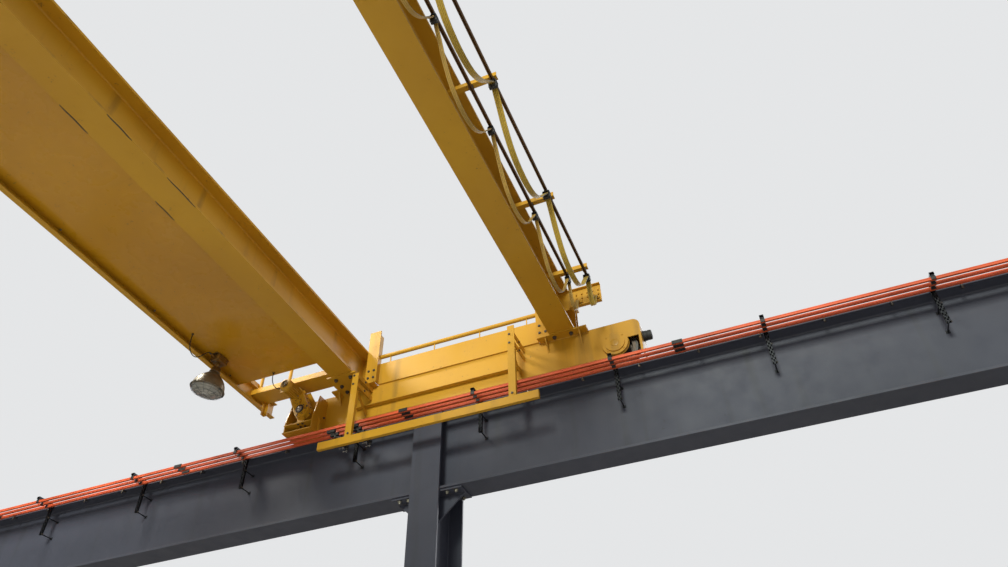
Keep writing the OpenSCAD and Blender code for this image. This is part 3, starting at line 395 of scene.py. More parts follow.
@dataclass(frozen=True)
class WheelSteel(Finish):
    """Forged wheel: dark body and a brighter worn tread, about its own axle; the tread's colour is partly painted
    shade.
    """

    centre: Point
    tread: float
    flange: float
    scales: tuple[Colour, Colour] = ((0.075, 0.065, 0.058), (0.15, 0.11, 0.085))
    # Worn tread colour, toned down as painted shade of the truck over the wheel.
    bright: Colour = (0.20, 0.19, 0.18)
    grease: Colour = (0.018, 0.014, 0.010)
    grease_r: float = 0.06

    def build(self, g: Graph) -> bpy.types.Material:
        """Brightens the ring between tread and flange.

        Args:
            g: node tree that is filled.

        Returns:
            The finished material.
        """
        away = g.axle_distance(self.centre)
        scale = g.noise(24.0, 4.0)
        body = g.mix(g.span(scale, 0.35, 0.7), *self.scales)
        ring = g.times(g.span(away, self.tread - 0.004, self.tread - 0.001),
                       g.span(away, self.flange + 0.001, self.flange - 0.012))
        grease = g.times(g.span(g.noise(9.0, 4.0), 0.52, 0.62, (0.0, 0.7)), g.span(away, self.tread, self.grease_r))
        colour = g.mix(grease, g.mix(ring, body, self.bright), self.grease)
        rough = g.span(ring, 0.0, 1.0, (0.52, 0.24))
        return g.close(colour, rough, g.bump(scale, 0.25, 0.001), metallic=0.8)


@dataclass(frozen=True)
class Zinc(Finish):
    """Hot dip galvanised steel with its spangle."""

    colour: Colour = (0.17, 0.175, 0.185)

    def build(self, g: Graph) -> bpy.types.Material:
        """Mixes cells of spangle with pale bloom.

        Args:
            g: node tree that is filled.

        Returns:
            The finished material.
        """
        spangle = g.cells(95.0)
        bloom = g.span(g.noise(7.0, 5.0), 0.48, 0.72, (0.0, 0.5))
        colour = g.mix(bloom, g.mix(spangle, self.colour, toned(self.colour, 0.7)), toned(self.colour, 1.5))
        rough = g.plus(g.span(spangle, 0.0, 1.0, (0.30, 0.46)), g.times(bloom, 0.3))
        return g.close(colour, rough, g.bump(g.noise(55.0), 0.15, 0.0006), metallic=0.85)


@dataclass(frozen=True)
class Moulded(Finish):
    """Moulded plastic or rubber, with a fine texture and some dust."""

    colour: Colour
    roughness: float
    grit: float
    dusty: float
    dust: Colour = (0.30, 0.27, 0.23)

    def build(self, g: Graph) -> bpy.types.Material:
        """Mixes fading, dust and a moulded grain.

        Args:
            g: node tree that is filled.

        Returns:
            The finished material.
        """
        fade, fine = g.noise(2.0, 4.0), g.noise(self.grit)
        pale = tuple(min(1.0, c * 1.25 + 0.012) for c in self.colour)
        colour = g.mix(g.span(fade, 0.3, 0.7), toned(self.colour, 0.72), pale)
        colour = g.mix(g.span(fine, 0.3, 0.75, (0.0, 0.25)), colour, self.colour)
        lying = g.times(g.span(g.part(g.normal(), "Z"), 0.35, 0.9), g.span(fade, 0.3, 0.7, (0.3, 1.0)))
        dust = g.times(lying, self.dusty)
        rough = g.plus(g.span(fine, 0.3, 0.7, (self.roughness - 0.06, self.roughness + 0.1)), g.times(dust, 0.4))
        return g.close(g.mix(dust, colour, self.dust), rough, g.bump(fine, 0.2, 0.0006))


@dataclass(frozen=True)
class FlatJacket(Finish):
    """Ribbed jacket of a flat cable, darker in the grooves between its cores."""

    colour: Colour
    middle: float
    pitch: float
    # Colour of the dark line in each groove.
    groove_tone: Colour = (0.050, 0.030, 0.010)
    depth: float = 0.75

    def build(self, g: Graph) -> bpy.types.Material:
        """Darkens a line at each groove across the cable, and fades it along the cable.

        Args:
            g: node tree that is filled.

        Returns:
            The finished material.
        """
        across = g.math("DIVIDE", g.math("SUBTRACT", g.part(g.place, "Y"), self.middle), self.pitch)
        off = g.math("ABSOLUTE", g.math("SUBTRACT", g.math("FRACT", across), 0.5))
        patch, fine = g.noise(3.0, 4.0), g.noise(180.0)
        groove = g.times(g.span(off, 0.34, 0.47), g.span(patch, 0.30, 0.55, (0.45, self.depth)))
        body = g.mix(g.span(patch, 0.35, 0.70), self.colour, toned(self.colour, 0.72))
        rough = g.span(fine, 0.3, 0.7, (0.40, 0.56))
        return g.close(g.mix(groove, body, self.groove_tone), rough, g.bump(fine, 0.2, 0.0006), Sheen_Weight=0.1)


@dataclass(frozen=True)
class SpunAluminium(Finish):
    """Spun aluminium bell with turning marks and heat stains, under a painted neck and box."""

    colour: Colour = (0.25, 0.215, 0.165)
    stained: Colour = (0.15, 0.11, 0.068)
    paints: tuple[Colour, Colour] = ((0.30, 0.155, 0.030), (0.10, 0.055, 0.022))
    neck: float = 6.665

    def build(self, g: Graph) -> bpy.types.Material:
        """Runs fine rings round the bell and paints what lies over the neck.

        Args:
            g: node tree that is filled.

        Returns:
            The finished material.
        """
        marks = g.rings(210.0, "Z", 1.2)
        stain = g.span(g.noise(9.0, 5.0), 0.42, 0.70)
        colour = g.mix(stain, g.mix(marks, self.colour, toned(self.colour, 0.82)), self.stained)
        painted = g.mix(g.span(g.noise(14.0, 5.0), 0.40, 0.66), *self.paints)
        colour = g.mix(g.span(g.part(g.place, "Z"), self.neck, self.neck + 0.006), colour, painted)
        rough = g.span(stain, 0.0, 1.0, (0.34, 0.58))
        return g.close(colour, rough, g.bump(marks, 0.12, 0.0005), metallic=0.45)


@dataclass(frozen=True)
class Glass(Finish):
    """Prismatic lens glass, frosted on its inner side, or the lamp behind it."""

    colour: Colour
    glow: float = 0.0
    through: float = 0.0
    film: Colour = (0.52, 0.47, 0.38)
    light: Colour = (1.0, 0.95, 0.85)

    def build(self, g: Graph) -> bpy.types.Material:
        """Sets a clear or a milky glass.

        Args:
            g: node tree that is filled.

        Returns:
            The finished material.
        """
        ribs = g.noise(60.0, 2.0)
        filmed = g.mix(g.span(g.noise(14.0, 4.0), 0.35, 0.7, (0.0, 0.45)), self.colour, self.film)
        g.feed(g.shader.inputs["Emission Color"], self.light)
        return g.close(filmed, g.span(ribs, 0.3, 0.7, (0.10, 0.26)), g.bump(ribs, 0.3, 0.001),
                       Transmission_Weight=self.through, IOR=1.48, Emission_Strength=self.glow)


@dataclass(frozen=True)
class PaleFloor(Finish):
    """Plain pale floor of the studio."""

    colour: Colour = (0.60, 0.575, 0.535)

    def build(self, g: Graph) -> bpy.types.Material:
        """Leaves it nearly plain, with a faint trowelled tone."""
        return g.close(g.mix(g.noise(0.4), self.colour, toned(self.colour, 0.94)), 0.7)


YELLOW = Enamel("yellow_enamel", (0.62, 0.325, 0.017), (0.51, 0.250, 0.013))
WALK_YELLOW = Enamel("walk_enamel", (0.60, 0.290, 0.011), (0.50, 0.230, 0.010), gloss=0.25, coat=0.35)
SLATE = Enamel("slate_enamel", (0.058, 0.062, 0.090), (0.046, 0.049, 0.071), under=(0.16, 0.07, 0.03),
               dust=(0.20, 0.19, 0.18), grime=(0.035, 0.037, 0.042), gloss=0.54, wear=0.45)
HOIST_GREY = Enamel("hoist_enamel", (0.085, 0.105, 0.125), (0.060, 0.075, 0.09), dust=(0.22, 0.20, 0.17),
                    grime=(0.02, 0.018, 0.015), gloss=0.36, coat=0.2)
TRACK_BROWN = Enamel("track_enamel", (0.150, 0.068, 0.012), (0.075, 0.034, 0.008), under=(0.12, 0.06, 0.03),
                     dust=(0.14, 0.10, 0.07), grime=(0.012, 0.010, 0.008))
BLACK_PAINT = Enamel("black_enamel", (0.022, 0.022, 0.024), (0.034, 0.032, 0.030), under=(0.18, 0.16, 0.14),
                     dust=(0.16, 0.14, 0.12), grime=(0.01, 0.01, 0.01), gloss=0.36)
DARK_BOLT = BareSteel("dark_bolt_steel", (0.10, 0.09, 0.085), (0.17, 0.14, 0.11), 0.46)
PLATED_BOLT = BareSteel("plated_bolt_steel", (0.30, 0.28, 0.23), (0.20, 0.18, 0.15), 0.38, rust=0.15)
TURNED = BareSteel("turned_steel", (0.52, 0.51, 0.50), (0.38, 0.36, 0.34), 0.26, rust=0.06)
TROLLEY_RAIL = BareSteel("trolley_rail_steel", (0.34, 0.32, 0.30), (0.20, 0.15, 0.11), 0.38, (0.2, 1, 1))
ROPE_STEEL = BareSteel("greased_rope_steel", (0.20, 0.185, 0.165), (0.055, 0.045, 0.035), 0.40, rust=0.1)
DRUM_STEEL = BareSteel("drum_steel", (0.24, 0.22, 0.20), (0.10, 0.085, 0.07), 0.36)
COPPER = BareSteel("contact_copper", (0.62, 0.30, 0.16), (0.30, 0.13, 0.07), 0.34, rust=0.0)
ZINC = Zinc("galvanised_zinc")
# Near-black strut zinc: partly aged zinc, partly painted shade of the beam's flange over the struts.
STRUT_ZINC = Zinc("aged_strut_zinc_with_painted_shade", (0.036, 0.038, 0.043))
ORANGE_PVC = Moulded("orange_pvc", (0.66, 0.098, 0.026), 0.42, 120.0, 0.22)
BLACK_NYLON = Moulded("black_nylon", (0.012, 0.012, 0.013), 0.46, 200.0, 0.14)
JOINT_BLACK = Moulded("joint_black", (0.007, 0.006, 0.006), 0.55, 200.0, 0.10)
BLACK_RUBBER = Moulded("black_rubber", (0.020, 0.019, 0.018), 0.66, 240.0, 0.30)
LEAD_JACKET = Moulded("black_lead_jacket", (0.022, 0.021, 0.021), 0.52, 220.0, 0.20)
# Near-black, fairly glossy strips for the dark marks under the drive girder's flange.
DARK_MARK = Moulded("dark_flange_mark", (0.012, 0.009, 0.006), 0.30, 60.0, 0.0)
ALUMINIUM = SpunAluminium("spun_aluminium")
LENS = Glass("prismatic_lens", (0.78, 0.76, 0.70), through=0.55)
LAMP = Glass("lamp_envelope", (0.90, 0.88, 0.82), glow=0.25)
FLOOR = PaleFloor("pale_floor")


def shift(x: float, y: float, z: float) -> Matrix:
    """Matrix that moves by three lengths."""
    return Matrix.Translation((x, y, z))


def place(at: Point, along: Point = Z_AXIS, side: Point | None = None) -> Matrix:
    """Matrix that puts the origin at a point and turns Z to a direction.

    Args:
        at: where the origin goes.
        along: where the local Z points.
        side: where the local X points, as nearly as it can.

    Returns:
        The 4 by 4 matrix.
    """
    z = Vector(along).normalized()
    hint = Vector(side) if side else Vector(X_AXIS if abs(z.x) < 0.9 else Y_AXIS)
    x = (hint - z * hint.dot(z)).normalized()
    y = z.cross(x)
    m = Matrix((x, y, z)).transposed().to_4x4()
    m.translation = Vector(at)
    return m


def circle(radius: float, sides: int, high: float = 0.0, turn: float = 0.0) -> list[Vector]:
    """Points round the local Z axis at one height."""
    return [Vector((radius * math.cos(a), radius * math.sin(a), high))
            for a in (turn + math.tau * k / sides for k in range(sides))]


def disc(radius: float, sides: int, turn: float = 0.0) -> list[Pair]:
    """Round outline for a sweep."""
    return [(p.x, p.y) for p in circle(radius, sides, turn=turn)]


def around(centre: Point, radius: float, count: int, axis: int, turn: float = 0.0) -> list[Vector]:
    """Points round a line along one axis.

    Args:
        centre: middle of the ring.
        radius: radius of the ring.
        count: number of points.
        axis: number of the axis that the ring goes round.
        turn: share of a step by which the first point is turned.

    Returns:
        The points.
    """
    first, second = (k for k in range(3) if k != axis)
    spots = []
    for k in range(count):
        angle = math.tau * (k + turn) / count
        spot = Vector(centre)
        spot[first] += radius * math.cos(angle)
        spot[second] += radius * math.sin(angle)
        spots.append(spot)
    return spots


def smooth_line(points: Sequence[Point], steps: int) -> list[Vector]:
    """Curve through every point, with steps stretches between neighbours.

    Args:
        points: points that the curve goes through.
        steps: number of stretches between two of them.

    Returns:
        The curve's points, the first and the last among them.
    """
    line = [Vector(p) for p in points]
    padded = [line[0] * 2 - line[1], *line, line[-1] * 2 - line[-2]]
    made = []
    for p0, p1, p2, p3 in zip(padded, padded[1:], padded[2:], padded[3:]):
        d0, d1, d2 = (max((b - a).length ** 0.5, 1e-6) for a, b in ((p0, p1), (p1, p2), (p2, p3)))
        t0, t1, t2, t3 = 0.0, d0, d0 + d1, d0 + d1 + d2
        for k in range(steps):
            t = t1 + (t2 - t1) * k / steps
            a1, a2, a3 = (p * ((v - t) / (v - u)) + q * ((t - u) / (v - u))
                          for p, q, u, v in ((p0, p1, t0, t1), (p1, p2, t1, t2), (p2, p3, t2, t3)))
            b1, b2 = (p * ((v - t) / (v - u)) + q * ((t - u) / (v - u))
                      for p, q, u, v in ((a1, a2, t0, t2), (a2, a3, t1, t3)))
            made.append(b1 * ((t2 - t) / (t2 - t1)) + b2 * ((t - t1) / (t2 - t1)))
    return [*made, line[-1]]


def line_length(points: Sequence[Vector]) -> float:
    """Length along a row of points."""
    return sum((b - a).length for a, b in zip(points, points[1:]))


class Solid:
    """A mesh being built from closed shapes."""

    def __init__(self) -> None:
        """Starts empty."""
        self.points: list[Vector] = []
        self.faces: list[tuple[int, ...]] = []

    def skin(self, rings: Sequence[Sequence[Vector]], m: Matrix | None = None, loop: bool = False) -> "Solid":
        """Closed skin over rings of points that run counter-clockwise about the way they follow.

        Args:
            rings: rings of as many points each, or of one point at a tip.
            m: matrix that places them.
            loop: whether the last ring meets the first.

        Returns:
            This solid.
        """
        starts = []
        for ring in rings:
            starts.append(len(self.points))
            self.points += [m @ p if m else Vector(p) for p in ring]
        pairs = list(zip(range(len(rings)), range(1, len(rings))))
        if loop:
            pairs.append((len(rings) - 1, 0))
        for i, j in pairs:
            a, b = starts[i], starts[j]
            count = max(len(rings[i]), len(rings[j]))
            for k in range(count):
                n = (k + 1) % count
                if len(rings[i]) == 1:
                    self.faces.append((a, b + n, b + k))
                elif len(rings[j]) == 1:
                    self.faces.append((a + k, a + n, b))
                else:
                    self.faces.append((a + k, a + n, b + n, b + k))
        if not loop:
            if len(rings[0]) > 2:
                self.faces.append(tuple(starts[0] + k for k in reversed(range(len(rings[0])))))
            if len(rings[-1]) > 2:
                self.faces.append(tuple(starts[-1] + k for k in range(len(rings[-1]))))
        return self

    def lathe(self, m: Matrix, profile: Sequence[Pair], sides: int = 24) -> "Solid":
        """Solid of revolution about the local Z from (height, radius) pairs that rise."""
        return self.skin([circle(r, sides, z) if r > 0 else [Vector((0, 0, z))] for z, r in profile], m)

    def rod(self, a: Point, b: Point, radius: float, sides: int = 12, edge: float = 0.0) -> "Solid":
        """Round bar from a to b, with chamfered ends if an edge is given.

        Args:
            a: middle of one end.
            b: middle of the other end.
            radius: radius of the bar.
            sides: number of its sides.
            edge: width of the chamfer, or 0.

        Returns:
            This solid.
        """
        long = (Vector(b) - Vector(a)).length
        ends = [(0, radius - edge), (edge, radius), (long - edge, radius), (long, radius - edge)]
        return self.lathe(place(a, Vector(b) - Vector(a)), ends if edge else ends[1:3], sides)

    def block(self, low: Point, high: Point, edge: float = 0.002, m: Matrix | None = None) -> "Solid":
        """Box with chamfered edges between two corners.

        Args:
            low: corner with the lowest values.
            high: corner with the highest values.
            edge: width of the chamfer.
            m: matrix that places the box.

        Returns:
            This solid.
        """
        low, high = Vector(low), Vector(high)
        mid, half = (low + high) / 2, (high - low) / 2

        def ring(inset: float, c: float, z: float) -> list[Vector]:
            """One outline of the box, with corners cut by c.

            Args:
                inset: distance in from the box's faces.
                c: cut at the corners.
                z: height.

            Returns:
                The outline's points.
            """
            a, b = half.x - inset, half.y - inset
            corners = ((a, -b + c), (a, b - c), (a - c, b), (-a + c, b), (-a, b - c), (-a, -b + c), (-a + c, -b),
                       (a - c, -b))
            return [Vector((mid.x + x, mid.y + y, z)) for x, y in corners]

        e = min(edge, half.x * 0.9, half.y * 0.9, half.z * 0.9)
        return self.skin([ring(e, e * 0.4, low.z), ring(0, e, low.z + e), ring(0, e, high.z - e),
                          ring(e, e * 0.4, high.z)], m)

    def brick(self, at: Point, half: Point, edge: float = 0.001) -> "Solid":
        """Box with chamfered edges about its middle."""
        return self.block(Vector(at) - Vector(half), Vector(at) + Vector(half), edge)

    def tube(self, line: Sequence[Vector], outline: Sequence[Pair], side: Point = Y_AXIS,
             sizes: Sequence[float] | None = None, loop: bool = False) -> "Solid":
        """Outline swept along a line, its first axis held near one side.

        Args:
            line: points that the outline follows.
            outline: points about the line, counter-clockwise seen against the way it goes.
            side: direction that the outline's first axis keeps to.
            sizes: factor of the outline at each point, if it changes.
            loop: whether the line is closed.

        Returns:
            This solid.
        """
        rings = []
        count = len(line)
        for i, p in enumerate(line):
            before = line[(i - 1) % count] if loop else line[max(i - 1, 0)]
            after = line[(i + 1) % count] if loop else line[min(i + 1, count - 1)]
            along = (after - before).normalized()
            hint = Vector(side)
            if abs(along.dot(hint)) > NEARLY_ALONG:
                hint = Vector(X_AXIS if abs(along.x) < 0.9 else Z_AXIS)
            u = (hint - along * hint.dot(along)).normalized()
            v = along.cross(u)
            size = sizes[i] if sizes else 1.0
            rings.append([p + u * (a * size) + v * (b * size) for a, b in outline])
        return self.skin(rings, loop=loop)

    def wire(self, points: Sequence[Point], radius: float, sides: int = 8, steps: int = 1) -> "Solid":
        """Round wire along points, smoothed where steps is over 1."""
        line = smooth_line(points, steps) if steps > 1 else [Vector(p) for p in points]
        return self.tube(line, disc(radius, sides), Z_AXIS)

    def hoops(self, m: Matrix, radii: Sequence[float], high: float, thick: float, count: int = 36,
              side: Point = Z_AXIS) -> "Solid":
        """Wire hoops about the local Z.

        Args:
            m: matrix that places them.
            radii: radius of each hoop.
            high: height over the origin.
            thick: radius of the wire.
            count: number of stretches round a hoop.
            side: direction that the wire's section keeps to.

        Returns:
            This solid.
        """
        for radius in radii:
            self.tube([m @ p for p in circle(radius, count, high)], disc(thick, 6), side, loop=True)
        return self

    def bolt(self, at: Point, along: Point, size: float, grip: float = 0.0) -> "Solid":
        """Hexagon bolt with its washer, and with its nut on the other side of a grip.

        Args:
            at: point on the face that the head sits on.
            along: direction that the head points.
            size: diameter of the thread.
            grip: thickness that it holds, or 0 where its nut doesn't show.

        Returns:
            This solid.
        """
        washer = ((0, 1.0), (0.12, 1.02), (0.16, 0.98))
        head = ((0.16, 0.84), (0.62, 0.86), (0.76, 0.72))
        nut = ((0.16, 0.74), (0.28, 0.86), (0.86, 0.86), (0.98, 0.74))
        end = ((0.9, 0.5), (1.22, 0.5), (1.3, 0.42))
        parts = [(place(at, along), washer, 16), (place(at, along), head, 6)]
        if grip:
            back = place(Vector(at) - Vector(along).normalized() * grip, -Vector(along))
            parts += [(back, washer, 16), (back, nut, 6), (back, end, 10)]
        for m, profile, sides in parts:
            self.lathe(m, [(z * size, r * size) for z, r in profile], sides)
        return self

    def bolts(self, xs: Sequence[float], ys: Sequence[float], zs: Sequence[float], along: Point, size: float,
              grip: float = 0.0) -> "Solid":
        """Bolts at every crossing of places along the three axes."""
        return self.bolts_at(product(xs, ys, zs), along, size, grip)

    def bolts_at(self, spots: Iterable[Point], along: Point, size: float, grip: float = 0.0) -> "Solid":
        """Like bolts at many spots.

        Args:
            spots: point of each bolt's head.
            along: direction that the heads point.
            size: diameter of the thread.
            grip: thickness that they hold, or 0.

        Returns:
            This solid.
        """
        for spot in spots:
            self.bolt(spot, along, size, grip)
        return self

    def weld(self, a: Point, b: Point, leg: float = 0.006) -> "Solid":
        """Rippled bead along a corner from a to b.

        Args:
            a: start of the bead.
            b: its end.
            leg: radius of the bead.

        Returns:
            This solid.
        """
        start, way = Vector(a), Vector(b) - Vector(a)
        count = max(4, int(way.length / 0.007))
        line = [start + way * (k / count) for k in range(count + 1)]
        sizes = [0.45 if k in (0, count) else 1.0 + 0.13 * math.cos(RIPPLE * k) for k in range(count + 1)]
        return self.tube(line, disc(leg, 6, 0.3), Z_AXIS, sizes)

    def collar(self, line: Sequence[Vector], leg: float, sides: int, side: Point, ripple: float = 0.0) -> "Solid":
        """Rippled bead round a closed line."""
        sizes = [1 + ripple * math.cos(RIPPLE * k) for k in range(len(line))]
        return self.tube(line, disc(leg, sides), side, sizes, loop=True)

    def copies(self, shape: "Solid", places: Iterable[Matrix]) -> "Solid":
        """Adds a shape at each of many places.

        Args:
            shape: the shape that is copied.
            places: matrix of each copy.

        Returns:
            This solid.
        """
        for m in places:
            start = len(self.points)
            self.points += [m @ p for p in shape.points]
            self.faces += [tuple(start + i for i in f) for f in shape.faces]
        return self

    def mirrored(self, axis: int) -> "Solid":
        """Adds the mirror image across the middle of one axis.

        Args:
            axis: number of the axis.

        Returns:
            This solid.
        """
        start = len(self.points)
        for p in list(self.points):
            q = p.copy()
            q[axis] = -q[axis]
            self.points.append(q)
        self.faces += [tuple(start + i for i in reversed(f)) for f in list(self.faces)]
        return self


@dataclass(frozen=True)
class Layout:
    """Places that several sub-assemblies share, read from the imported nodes."""

    rail_x: float
    rail_top: float
    bay: float
    beam_low: float
    beam_top: float
    column_x: float
    crane_y: float
    axle_z: float
    axle_y: float
    truck_top: float
    girder_y: float
    girder_top: float

    @classmethod
    def read(cls) -> "Layout":
        """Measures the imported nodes.

        Returns:
            The layout.
        """
        beams, truck, plates, columns = (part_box(name) for name in ("east_runway_beams", "east_end_truck",
                                                                   "base_plates", "east_columns"))
        wheel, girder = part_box("wheel_north_east"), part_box("north_girder")
        crane_y = (truck[0].y + truck[1].y) / 2
        return cls(
            rail_x=(beams[0].x + beams[1].x) / 2,
            rail_top=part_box("runway_rails")[1].z,
            bay=(plates[1].y - plates[0].y - (columns[1].x - columns[0].x) * 0.7) / 2,
            beam_low=beams[0].z,
            beam_top=beams[1].z,
            column_x=(columns[0].x + columns[1].x) / 2,
            crane_y=crane_y,
            axle_z=(wheel[0].z + wheel[1].z) / 2,
            axle_y=(wheel[0].y + wheel[1].y) / 2 - crane_y,
            truck_top=truck[1].z,
            girder_y=(girder[0].y + girder[1].y) / 2 - crane_y,
            girder_top=girder[1].z,
        )


def add_object(name: str, data: bpy.types.ID) -> bpy.types.Object:
    """New object in the scene.

    Args:
        name: the object's name.
        data: its mesh, lamp or camera.

    Returns:
        The object.
    """
    made = bpy.data.objects.new(name, data)
    bpy.context.scene.collection.objects.link(made)
    return made


def dress(finish: Finish, *nodes: str) -> None:
    """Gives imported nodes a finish.

    Args:
        finish: the finish.
        nodes: names of the nodes.
    """
    for name in nodes:
        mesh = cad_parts[name].data
        mesh.materials.clear()
        mesh.materials.append(finish.material())
        LOG.info("node %s wears %s", name, finish.name)


@dataclass
class Assembly:
    """A sub-assembly of the crane that makes pieces on one body."""

    layout: Layout
    body: Body = Body.BRIDGE

    def put(self, name: str, solid: Solid, finish: Finish, slot: Slot, ends: bool = False) -> bpy.types.Object:
        """Makes a piece of a solid drawn about the middle of the bridge or the runway.

        Args:
            name: the piece's name.
            solid: its shape.
            finish: its finish.
            slot: the record's slot for the piece; not used.
            ends: whether the other end of the bridge gets its mirror image too.

        Returns:
            The object.
        """
        if ends:
            solid.mirrored(0)
        offset = self.layout.crane_y if self.body is Body.BRIDGE else 0.0
        mesh = bpy.data.meshes.new(name)
        mesh.from_pydata([(p.x, p.y + offset, p.z) for p in solid.points], [], solid.faces)
        mesh.shade_smooth()
        mesh.set_sharp_from_angle(angle=SHARP)
        mesh.materials.append(finish.material())
        made = add_object(name, mesh)
        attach(made, self.body.value)
        LOG.info("piece %s: %d faces", name, len(solid.faces))
        return made


@dataclass
class Studio:
    """Camera, floor and soft light."""

    eye: Point = (-0.47, -3.38, 1.6)
    yaw: float = math.radians(21.3429)
    pitch: float = math.radians(42.5283)
    roll: float = math.radians(-1.287)
    lens: float = 27.18
    sensor: float = 36.0
    far: float = 200.0
    floor_half: float = 60.0
    backdrop: Colour = (0.78, 0.79, 0.80)
    ambient: Colour = (0.250, 0.256, 0.273)
    aim: Point = (3.0, 0.0, 6.0)
    drive_aim: Point = (5.6, 2.6, 6.5)

    def camera(self) -> None:
        """Stands the camera where the photograph was taken."""
        cy, sy = math.cos(self.yaw), math.sin(self.yaw)
        cp, sp = math.cos(self.pitch), math.sin(self.pitch)
        flat, rise = Vector((sy, -cy, 0)), Vector((-cy * sp, -sy * sp, cp))
        right = flat * math.cos(self.roll) + rise * math.sin(self.roll)
        up = rise * math.cos(self.roll) - flat * math.sin(self.roll)
        data = bpy.data.cameras.new("camera")
        data.lens, data.sensor_width, data.clip_end = self.lens, self.sensor, self.far
        made = add_object("camera", data)
        made.matrix_world = Matrix.Translation(self.eye) @ Matrix((right, up, right.cross(up))).transposed().to_4x4()
        bpy.context.scene.camera = made

    def floor(self) -> None:
        """Lays a wide pale floor."""
        h = self.floor_half
        mesh = bpy.data.meshes.new("studio_floor")
        mesh.from_pydata([(-h, -h, 0), (h, -h, 0), (h, h, 0), (-h, h, 0)], [], [(0, 1, 2, 3)])
        mesh.materials.append(FLOOR.material())
        add_object("studio_floor", mesh)

    def lamp(self, name: str, at: Point, aim: Point, size: float, power: float, colour: Colour) -> None:
        """Adds one soft square lamp.

        Args:
            name: the lamp's name.
            at: where it stands.
            aim: point that it looks at.
            size: length of its side.
            power: its power in watts.
            colour: its colour.
        """
        data = bpy.data.lights.new(name, "AREA")
        data.shape, data.size, data.energy, data.color = "SQUARE", size, power, colour
        made = add_object(name, data)
        made.location = at
        made.rotation_euler = (Vector(aim) - Vector(at)).to_track_quat("-Z", "Y").to_euler()

    def world(self) -> None:
        """Pale backdrop that lights the part less than it shows."""
        world = bpy.data.worlds.new("studio")
        world.use_nodes = True
        nodes, links = world.node_tree.nodes, world.node_tree.links
        blend = nodes.new("ShaderNodeMix")
        blend.data_type = "RGBA"
        blend.inputs[MIX_A].default_value = (*self.ambient, 1)
        blend.inputs[MIX_B].default_value = (*self.backdrop, 1)
        links.new(nodes.new("ShaderNodeLightPath").outputs["Is Camera Ray"], blend.inputs[MIX_SHARE])
        links.new(blend.outputs[MIX_COLOUR], nodes["Background"].inputs["Color"])
        bpy.context.scene.world = world

    def build(self) -> None:
        """Sets the whole studio."""
        self.floor()
        self.world()
        self.lamp("key", (-26.0, -3.0, 14.5), self.aim, 8.0, 9500.0, (0.95, 1.0, 0.87))
        self.lamp("front_fill", (-9.0, -11.0, 7.0), self.aim, 9.0, 200.0, (0.92, 0.96, 1.0))
        self.lamp("drive_fill", (3.2, 5.0, 11.5), self.drive_aim, 2.0, 600.0, (1.0, 0.98, 0.86))
        self.lamp("side_fill", (14.0, -3.0, 10.0), self.aim, 8.0, 600.0, (0.95, 0.97, 1.0))
        bpy.context.scene.view_settings.view_transform = "Standard"


